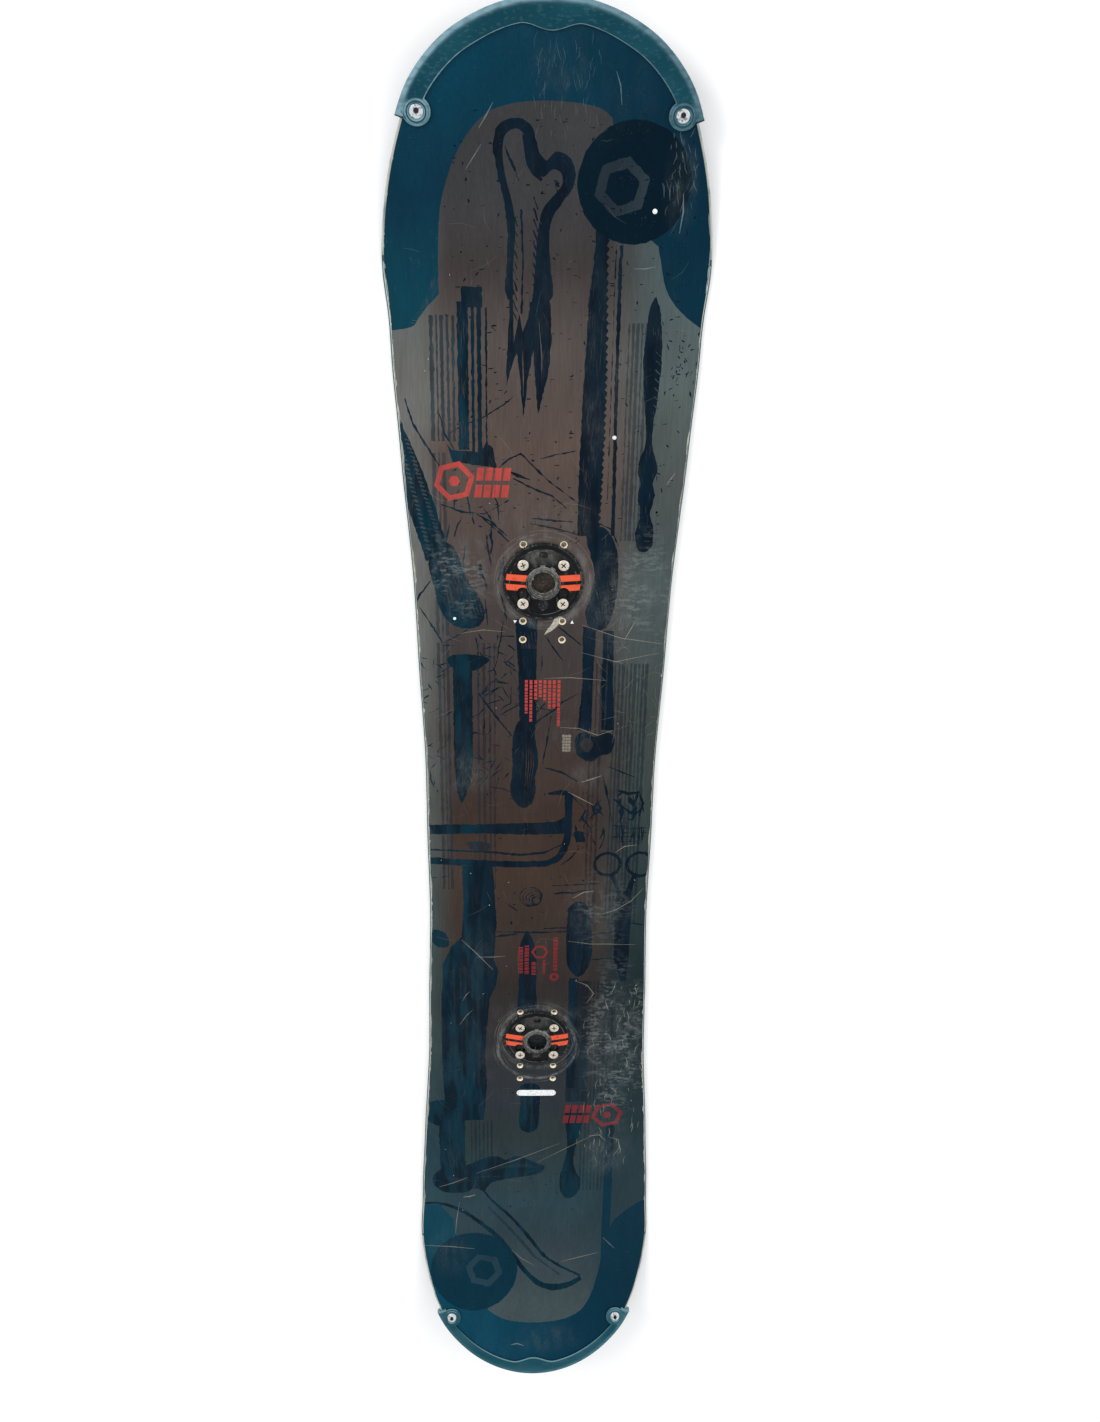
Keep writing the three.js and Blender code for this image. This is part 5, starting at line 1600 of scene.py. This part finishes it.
def sidewalls(paints):
    """Leaning walls between the steel edge and the laminate, one along each side and one at each tip."""
    foot = over_ground(STEEL_HEIGHT + SLIT)
    outer = [(-STEEL_SHOWN, foot), (-SIDEWALL_LEAN + 0.1, over_core(0))]
    section = [(-SIDEWALL_WIDTH, over_ground(CORE_LOW)), (-SIDEWALL_WIDTH, foot), *outer,
               (-SIDEWALL_WIDTH, over_core(0))]
    thin = [(-3, foot), *outer, (-3, over_core(0))]
    right = [s for s in RIGHT_EDGE if abs(s[1]) <= CORE_END]
    left = [s for s in LEFT_EDGE if abs(s[1]) <= CORE_END]
    for side, stations in (("left", left), ("right", right)):
        wall = made_object(f"planed_sidewall_{side}", *swept(stations, section, False))
        finished(wall, "board", paints["sidewall"], [f"sidewall_{side}"], sharp=30)
    start = next(i for i, s in enumerate(WHOLE_EDGE) if s[1] > right[-1][1])
    turned_edge = WHOLE_EDGE[start:] + WHOLE_EDGE[:start]
    for end, sign in (("nose", 1), ("tail", -1)):
        stations = [s for s in turned_edge if sign * s[1] > CORE_END - 3]
        wall = made_object(f"planed_{end}_wall", *swept(stations, thin, False))
        finished(wall, "board", paints["sidewall"], sharp=30)


# ------------------------------------------------------------------ guards
GUARDS = {
    "nose": {"end": 707, "side": 14, "shoulder": 13, "bulge": 6.5, "reach": 29},
    "tail": {"end": -706, "side": 7.5, "shoulder": 7.5, "bulge": 7, "reach": 31},
}
GUARD_WALL = 4.6
GUARD_LIP = 2.8
GUARD_ROUND = 8.5  # how far in the outer side starts to round off
GUARD_DROP = 2.6
GUARD_INNER_ROUND = 1.3
LUG = 12


def guard_band(guard, x):
    """How far the guard reaches in over the deck."""
    flank = smoothstep(abs(x), guard["reach"], 2.5 * guard["reach"])
    middle = (1 + math.cos(math.pi * x / guard["reach"])) / 2 if abs(x) < guard["reach"] else 0
    return guard["shoulder"] + (guard["side"] - guard["shoulder"]) * flank + guard["bulge"] * middle


def guard_section(guard, station):
    """The guard's section at one place of the edge: under the lip, round the wall and over the deck."""
    x, y, ox, oy = station
    band = guard_band(guard, x)
    corner = [(math.cos(a), math.sin(a)) for a in (k * math.pi / 10 for k in range(6))]
    line = [(-band, GAP, deck_top), (GAP, GAP, deck_top), (GAP, GAP, ground),
            (GUARD_WALL - 0.9, GAP, ground), (GUARD_WALL - 0.2, 0.7, ground), (GUARD_WALL, 1.6, ground)]
    for c, s in corner:
        line.append((GUARD_WALL + GUARD_ROUND * (c - 1), GUARD_LIP + GUARD_DROP * (s - 1), deck_top))
    for c, s in reversed(corner[:-1]):
        line.append((-band + GUARD_INNER_ROUND * (1 - c), GUARD_LIP + 0.9 * (s - 1), deck_top))
    made = []
    for out, height, over in line:
        along = y + oy * out
        made.append((x + ox * out, along, over(along) + height))
    return made


def seat_matrix(x, y):
    """The frame of a guard screw, square to the deck."""
    slope = (deck_top(y + 1) - deck_top(y - 1)) / 2
    return Matrix.Translation((x, y, deck_top(y))) @ Matrix.Rotation(math.atan(slope), 4, "X")


def moved(mesh, matrix):
    vertices, faces = mesh
    return [tuple(matrix @ Vector(v)) for v in vertices], faces


def guard(end, paints):
    """One end's guard: a band along the edge with a boss, a well and a hole for each screw."""
    sizes = GUARDS[end]
    edge = RIGHT_EDGE if end == "nose" else RIGHT_EDGE[::-1]
    right = [s for s in edge if s[1] / sizes["end"] >= 1]
    left = [(-x, y, -ox, oy) for x, y, ox, oy in reversed(right[:-1])]
    sections = [guard_section(sizes, s) for s in right + left]
    obj = made_object(f"moulded_{end}_guard", *lofted(sections, False))
    lip = GUARD_LIP
    boss = [(0, 0.6), (LUG, 0.6), (LUG, lip - 0.9), (LUG - 0.3, lip - 0.3), (LUG - 0.9, lip), (9.6, lip),
            (9.3, lip + 0.4), (9.1, lip + 0.75), (8.8, lip + 0.9), (7.5, lip + 0.9), (7.1, lip + 0.7),
            (7, lip), (0, lip)]
    well = [(0, 1), (6.3, 1), (6.3, lip - 0.3), (6.7, lip + 0.02), (6.7, 9), (0, 9)]
    hole = [(0, -9), (2.5, -9), (2.5, 9), (0, 9)]
    for x, y in GUARD_SCREWS:
        if y * sizes["end"] < 0:
            continue
        seat = seat_matrix(x, y)
        cut_mesh(obj, moved(turned(boss, 72), seat), "UNION")
        cut_mesh(obj, moved(turned(well, 48), seat))
        cut_mesh(obj, moved(turned(hole, 24), seat))
    finished(obj, "board", paints[f"{end} guard"], [f"{end}_guard"], sharp=38)
    level_shading(obj)


def guard_screws(paints):
    profile = [(0, -4.2), (2.2, -4.2), (2.2, 1.3), (6, 1.3), (6, 2.35), (5.7, 2.7), (5, 2.93), (3.6, 3.02),
               (2.6, 3.04), (0, 3.04)]
    socket = prism(circle(0, 0, 2.1, 6), 1.9, 5)
    for x, y in GUARD_SCREWS:
        name = f"{'nose' if y > 0 else 'tail'}_guard_screw_{'left' if x < 0 else 'right'}"
        seat = seat_matrix(x, y)
        obj = made_object(f"turned_{name}", *moved(turned(profile, 48), seat))
        cut_mesh(obj, moved(socket, seat @ Matrix.Rotation(x * y, 4, "Z")))
        finished(obj, "board", paints["guard screws"], [name])


# ------------------------------------------------------------------ inserts
def insert_profile():
    """Barrel, flange and a threaded bore with a countersunk mouth."""
    top = DECK - GAP
    low = 2.5
    line = [(3.85, low), (3.85, top - 0.1), (3.75, top), (3.35, top), (2.85, top - 0.55)]
    height = top - 0.8
    while height > low + 1.2:
        line += [(2.62, height), (2.95, height - 0.4)]
        height -= 0.8
    return [*line, (2.6, low + 0.9), (0, low + 0.9), (0, low)]


def inserts(paints):
    pattern = made_object("insert_pattern", *turned(insert_profile(), 28))
    for i, (x, y) in enumerate(insert_places()):
        foot, row = divmod(i // 2, ROWS)
        end, side = ("front", "rear")[foot], "left" if x < 0 else "right"
        node = f"{end}_insert_{row + 1}_{side}"
        obj = copied(pattern, f"threaded_{node}", (x, y, 0))
        nodes = [node] if node in frame["nodes"] else []
        finished(obj, "board", paints["insert"], nodes, sharp=30)
    bpy.data.objects.remove(pattern)


# ------------------------------------------------------------------ binding discs
# A disc's own frame: z = 0 on its underside and y = 0 at its centre.
TIP_RADIUS = 40.6
TOOTH_DEPTH = 1.5
TEETH = 120
RIM_HEIGHT = 1.3
SOCKET_RADIUS = 13.2
CONE = [(38, 1.3), (34, 2.7), (18, 6.3)]
SEAT_RADIUS = 17.7
SEAT_HEIGHT = 4.4
DISC_SHIFT = 2.3
DISC_SCREW_PLACES = [(x, y - DISC_SHIFT) for y in (ROW_PITCH, -ROW_PITCH) for x in (-COLUMN, COLUMN)]
POCKET_RADIUS = 6.4
POCKET_FLOOR = 2.2
SLOT_RADIUS = 3.3
SLOT_REACH = 11.3
BAR_LOW = 1.9
BAR_HIGH = 8.2
BAR_FROM = 17.8
BAR_TO = 37.3
BAR_DEPTH = 1.2
DETENT_ANGLE = math.radians(161)
DETENT_HEIGHT = 2.7
OVER_DISC = 20
EAR_ANGLES = (58, 92, 236)
KEYWAYS = ((-50, 1.7), (-76, 1.3))


def box(x0, x1, y0, y1, z0, z1, turn=0.0):
    return prism(spun(bar(x0, x1, y0, y1), turn), z0, z1)


def local(name, mesh):
    """A pattern in the disc's own frame."""
    return made_object(name, *mesh)


def set_in(pattern, name, foot, dx=0, dy=0, dz=0, turn=0.0):
    return copied(pattern, name, (dx, DISC_Y[foot] + dy, DISC_LOW + dz), turn)


def cone_height(radius):
    outer, middle, inner = CONE
    a, b = (outer, middle) if radius > middle[0] else (middle, inner)
    return a[1] + (a[0] - radius) / (a[0] - b[0]) * (b[1] - a[1])


def cone_layer(start, end, below, above, segments=96):
    radii = [start, CONE[1][0], end]
    low = [(r, cone_height(r) - below) for r in radii]
    high = [(r, cone_height(r) + above) for r in reversed(radii)]
    return turned(low + high, segments)


def toothed_rim():
    """A ring with flat-topped teeth, each a little narrower at its tip and bevelled at its upper edge."""
    root = TIP_RADIUS - TOOTH_DEPTH
    half = math.pi / TEETH
    levels = ((0, 0.25), (0.25, 0), (RIM_HEIGHT - 0.3, 0), (RIM_HEIGHT, 0.35))
    sections = []
    for height, inset in levels:
        loop = []
        tip = TIP_RADIUS - inset
        for k in range(TEETH):
            middle = 2 * math.pi * (k + 0.5) / TEETH
            for share, radius in ((-0.62, root), (-0.30, tip), (0.30, tip), (0.62, root)):
                angle = middle + half * share
                loop.append((radius * math.cos(angle), radius * math.sin(angle), height))
        sections.append(loop)
    return lofted(sections, False)


def pockets(radius):
    """The sunk seats of the screw heads. The two lower ones are doubled, where their slots end."""
    places = DISC_SCREW_PLACES + [(x, y + SLOT_REACH) for x, y in DISC_SCREW_PLACES if y < 0]
    return [prism(circle(x, y, radius, 48), POCKET_FLOOR, OVER_DISC) for x, y in places]


def slots():
    """The screw holes through a disc. The two lower ones are slots."""
    made = []
    for x, y in DISC_SCREW_PLACES:
        if y > 0:
            made.append(prism(circle(x, y, SLOT_RADIUS, 32), -1, OVER_DISC))
            continue
        low = arc(x, y, SLOT_RADIUS, 180, 360, 12)
        high = arc(x, y + SLOT_REACH, SLOT_RADIUS, 0, 180, 12)
        made.append(prism(low + high, -1, OVER_DISC))
    return made


def nose_mark():
    """The oval dent on a disc's nose side."""
    return prism(arc(-1.5, 28.5, 3, 90, 270, 12) + arc(1.5, 28.5, 3, -90, 90, 12), 1.2, OVER_DISC)


def tail_pocket():
    """The deep pocket between the two lower screws: an arc-shaped room with straight sides."""
    half, near, far = 13.2, 19, 33
    inner = math.degrees(math.asin(half / near))
    outer = math.degrees(math.asin(half / far))
    low = arc(0, 0, near, 270 + inner, 270 - inner, 16)
    high = arc(0, 0, far, 270 - outer, 270 + outer, 16)
    return prism(low + high, POCKET_FLOOR, OVER_DISC)


def detent_way(radius, start, end):
    """A round passage that runs out from the socket."""
    mesh = turned([(0, start), (radius, start), (radius, end), (0, end)], 24)
    return moved(mesh, detent_frame())


def detent_frame():
    """The frame of a detent pin, whose Z runs outwards from the disc's centre."""
    lie = Matrix.Rotation(DETENT_ANGLE, 4, "Z") @ Matrix.Rotation(math.pi / 2, 4, "Y")
    return Matrix.Translation((0, 0, DETENT_HEIGHT)) @ lie


def bar_strips(clearance):
    """The two strips across a disc in which its orange marks lie."""
    return [box(-60, 60, low - clearance, high + clearance, -OVER_DISC, OVER_DISC)
            for low, high in ((BAR_LOW, BAR_HIGH), (-BAR_HIGH, -BAR_LOW))]


def disc_pattern():
    """The disc: a cone with its screw seats, marks and pockets, and the toothed rim round its foot."""
    foot = TIP_RADIUS - TOOTH_DEPTH - 0.4
    profile = [(SOCKET_RADIUS, 0), (foot, 0), (foot, RIM_HEIGHT), *CONE, (SEAT_RADIUS, SEAT_HEIGHT),
               (SOCKET_RADIUS, SEAT_HEIGHT)]
    obj = local("disc_pattern", turned(profile, 120))
    for cutter in [*pockets(POCKET_RADIUS), *slots(), nose_mark(), tail_pocket()]:
        cut_mesh(obj, cutter)
    cut_mesh(obj, prism(circle(0, -24.5, 5.8, 40), 1.2, OVER_DISC))
    for strip in bar_strips(0.1):
        room = local("room", cone_layer(BAR_FROM - 0.6, BAR_TO + 0.1, BAR_DEPTH + 0.1, 4))
        cut_mesh(room, strip, "INTERSECT")
        cut_with(obj, room)
        arms = local("room", prism(circle(0, 0, 18.9, 72), SEAT_HEIGHT, OVER_DISC))
        cut_mesh(arms, strip, "INTERSECT")
        cut_with(obj, arms)
    cut_mesh(obj, detent_way(2.1, SOCKET_RADIUS - 1, 21.4))
    bevelled(obj, 0.28)
    cut_mesh(obj, toothed_rim(), "UNION")
    cut_mesh(obj, prism(circle(0, 0, SOCKET_RADIUS, 96), -1, OVER_DISC))
    return obj


def index_pattern():
    """The orange marks: a hidden ring with two bars on each side."""
    ring = turned([(13.6, 4.7), (15.7, 4.7), (15.7, 5.5), (13.6, 5.5)], 96)
    obj = local("index_pattern", ring)
    for strip in bar_strips(0):
        arms = local("arms", turned([(15, 4.7), (18.3, 4.7), (18.3, 5.5), (15, 5.5)], 96))
        cut_mesh(arms, strip, "INTERSECT")
        cut_with(obj, arms, "UNION")
        bars = local("bars", cone_layer(BAR_FROM, BAR_TO, BAR_DEPTH, 0.12))
        cut_mesh(bars, strip, "INTERSECT")
        cut_with(obj, bars, "UNION")
    for pocket in pockets(POCKET_RADIUS + 0.15):
        cut_mesh(obj, pocket)
    bevelled(obj, 0.22)
    return obj


def lock_ring_pattern():
    """The lock ring with its three ears and eight notches."""
    profile = [(13.2, 5.8), (16.9, 5.8), (17.2, 6.1), (17.2, 6.9), (17.05, 7.25), (16.7, 7.45), (16.3, 7.5),
               (14.9, 7.5), (14.6, 7.4), (14.5, 7.1), (14.5, 6.6), (13.2, 6.6)]
    obj = local("lock_ring_pattern", turned(profile, 120))
    half = [(15.6, 2.9), (18.4, 2.6), (19.0, 2.1), (19.2, 1.4)]
    ear = [(x, -y) for x, y in half] + half[::-1]
    for angle in EAR_ANGLES:
        cut_mesh(obj, prism(spun(ear, math.radians(angle)), 6.6, 7.35), "UNION")
    for k in range(8):
        turn = math.radians(22.5 + 45 * k)
        cut_mesh(obj, box(16.3, 18, -0.5, 0.5, 7.1, 9, turn))
    bevelled(obj, 0.16, angle=50)
    return obj


def cup_pattern():
    """The socket's cup, with a flange over the lock ring, two keyways and the detent's hole."""
    profile = [(2.2, 0), (12.9, 0), (12.9, 6.9), (14.2, 6.9), (14.2, 7.4), (14.05, 7.62), (13.7, 7.7),
               (12.5, 7.7), (12.1, 7.6), (11.8, 7.3), (11.6, 6.7), (11.6, 1.5), (11.3, 1.15), (10.9, 1),
               (2.6, 1), (2.2, 0.7)]
    obj = local("cup_pattern", turned(profile, 96))
    for angle, half in KEYWAYS:
        cut_mesh(obj, box(10.6, 12.4, -half, half, 3, OVER_DISC, math.radians(angle)))
    cut_mesh(obj, detent_way(1.65, 9, 15))
    bevelled(obj, 0.15, angle=50)
    return obj


def screw_pattern():
    """A disc screw with a low domed head and a tapered cross."""
    profile = [(0, -7.6), (2.1, -7.6), (2.1, 0), (5.5, 0), (5.8, 0.25), (5.8, 1.05), (5.5, 1.45), (4.6, 1.8),
               (3.2, 1.98), (0, 2.0)]
    obj = local("screw_pattern", turned(profile, 56))
    half, reach = 0.62, 3.1
    cross = []
    for x0, y0 in ((1, 0), (0, 1), (-1, 0), (0, -1)):
        cross += [(x0 * reach + y0 * half, y0 * reach - x0 * half),
                  (x0 * reach - y0 * half, y0 * reach + x0 * half), (half * (x0 - y0), half * (y0 + x0))]
    low = [(0.72 * x, 0.72 * y, 0.7) for x, y in cross]
    high = [(1.1 * x, 1.1 * y, 2.4) for x, y in cross]
    cut_mesh(obj, lofted([low, high], False))
    bevelled(obj, 0.1)
    return obj


def pin_mesh():
    """A detent pin with a round nose and a collar for its spring."""
    tip = 1.35
    angles = [math.radians(90 * k / 8) for k in range(9)]
    ball = [(tip * math.sin(a), 10.2 + tip - tip * math.cos(a)) for a in angles]
    return moved(turned([*ball, (tip, 13.2), (1.8, 13.2), (1.8, 15.8), (0, 15.8)], 32), detent_frame())


def disc_pieces(paints):
    """The two discs with everything in them, each copied from one pattern."""
    patterns = [
        ("disc", disc_pattern(), "disc_plastic", "disc", "board"),
        ("index_marks", index_pattern(), "index_orange", "orange", "board"),
        ("socket_cup", cup_pattern(), "disc_plastic", "cup", "board"),
        ("lock_ring", lock_ring_pattern(), "collar_plastic", "collar", "{foot}_lock_ring"),
        ("detent_pin", local("pin_pattern", pin_mesh()), "stainless", "stainless", "{foot}_detent_pin"),
    ]
    screw = screw_pattern()
    rng = random.Random(3)
    for foot in ("front", "rear"):
        for part, pattern, slot, paint, body in patterns:
            obj = set_in(pattern, f"moulded_{foot}_{part}", foot)
            finished(obj, body.format(foot=foot), paints[paint], [f"{foot}_{part}"], sharp=32)
            level_shading(obj)
        for number, (x, y) in enumerate(DISC_SCREW_PLACES, 1):
            turn = rng.uniform(0, math.pi / 2)
            obj = set_in(screw, f"machined_{foot}_disc_screw_{number}", foot, x, y, POCKET_FLOOR + GAP, turn)
            finished(obj, "board", paints["screws"], [f"{foot}_disc_screw_{number}"], sharp=32)
            level_shading(obj)
    for pattern in [screw, *(p[1] for p in patterns)]:
        bpy.data.objects.remove(pattern)


def carried_over(paints):
    """Looks for the CAD pieces that are shown as they are."""
    looks = {"wood_core": "core", "lower_laminate": "laminate", "nose_spacer": "sidewall",
             "tail_spacer": "sidewall"}
    for name, obj in frame["nodes"].items():
        if obj.hide_render:
            continue
        obj.data.materials.clear()
        obj.data.materials.append(paints[looks.get(name, "stainless")])


# ------------------------------------------------------------------ studio
FLOOR_SIZE = 6
FLOOR_COLOUR = (0.99, 0.99, 0.985)
CAMERA_PLACE = (-0.02473, 0.65499, 1.13647)
CAMERA_TURN = (-0.421587, -0.0230123, 0.0154204)
LENS = 29.84
WORLD_COLOUR = (0.97, 0.98, 1.0)
WORLD_STRENGTH = 0.93
LIGHTS = [  # name, place, what it is aimed at, width and power
    ("key", (-1.9, 1.7, 2.0), (0, 0, 0), 1.2, 32),
    ("fill", (2.1, 0.9, 1.7), (0, -0.2, 0), 1.6, 14),
]


def floor():
    half = FLOOR_SIZE / 2
    corners = [(x, y, 0) for x, y in bar(-half, half, -half, half)]
    mesh = bpy.data.meshes.new("floor")
    mesh.from_pydata(corners, [], [(0, 1, 2, 3)])
    obj = linked("floor", mesh)
    paint = Paint("pale floor")
    colour = paint.mix(paint.noise(400, 2), FLOOR_COLOUR, (0.98, 0.98, 0.975))
    obj.data.materials.append(paint.finish(colour, 0.8, specular=0.1))


def lights():
    for name, place, aim, size, power in LIGHTS:
        data = bpy.data.lights.new(name, "AREA")
        data.shape = "DISK"
        data.size = size
        data.energy = power
        obj = linked(name, data)
        obj.location = place
        obj.rotation_euler = (Vector(aim) - Vector(place)).to_track_quat("-Z", "Y").to_euler()


def world():
    made = bpy.data.worlds.new("studio")
    made.use_nodes = True
    background = made.node_tree.nodes["Background"]
    background.inputs["Color"].default_value = (*WORLD_COLOUR, 1)
    background.inputs["Strength"].default_value = WORLD_STRENGTH
    bpy.context.scene.world = made


def camera():
    data = bpy.data.cameras.new("camera")
    data.sensor_width = 36
    data.lens = LENS
    data.clip_start = 0.01
    obj = linked("camera", data)
    obj.location = CAMERA_PLACE
    obj.rotation_euler = CAMERA_TURN
    bpy.context.scene.camera = obj


PAINTS = all_paints()
top_sheet(PAINTS)
inner_layers(PAINTS)
steel_edge(PAINTS)
sidewalls(PAINTS)
for tip in ("nose", "tail"):
    guard(tip, PAINTS)
guard_screws(PAINTS)
inserts(PAINTS)
disc_pieces(PAINTS)
carried_over(PAINTS)
floor()
lights()
world()
camera()
bpy.context.scene.view_settings.view_transform = "Standard"
bpy.context.view_layer.update()
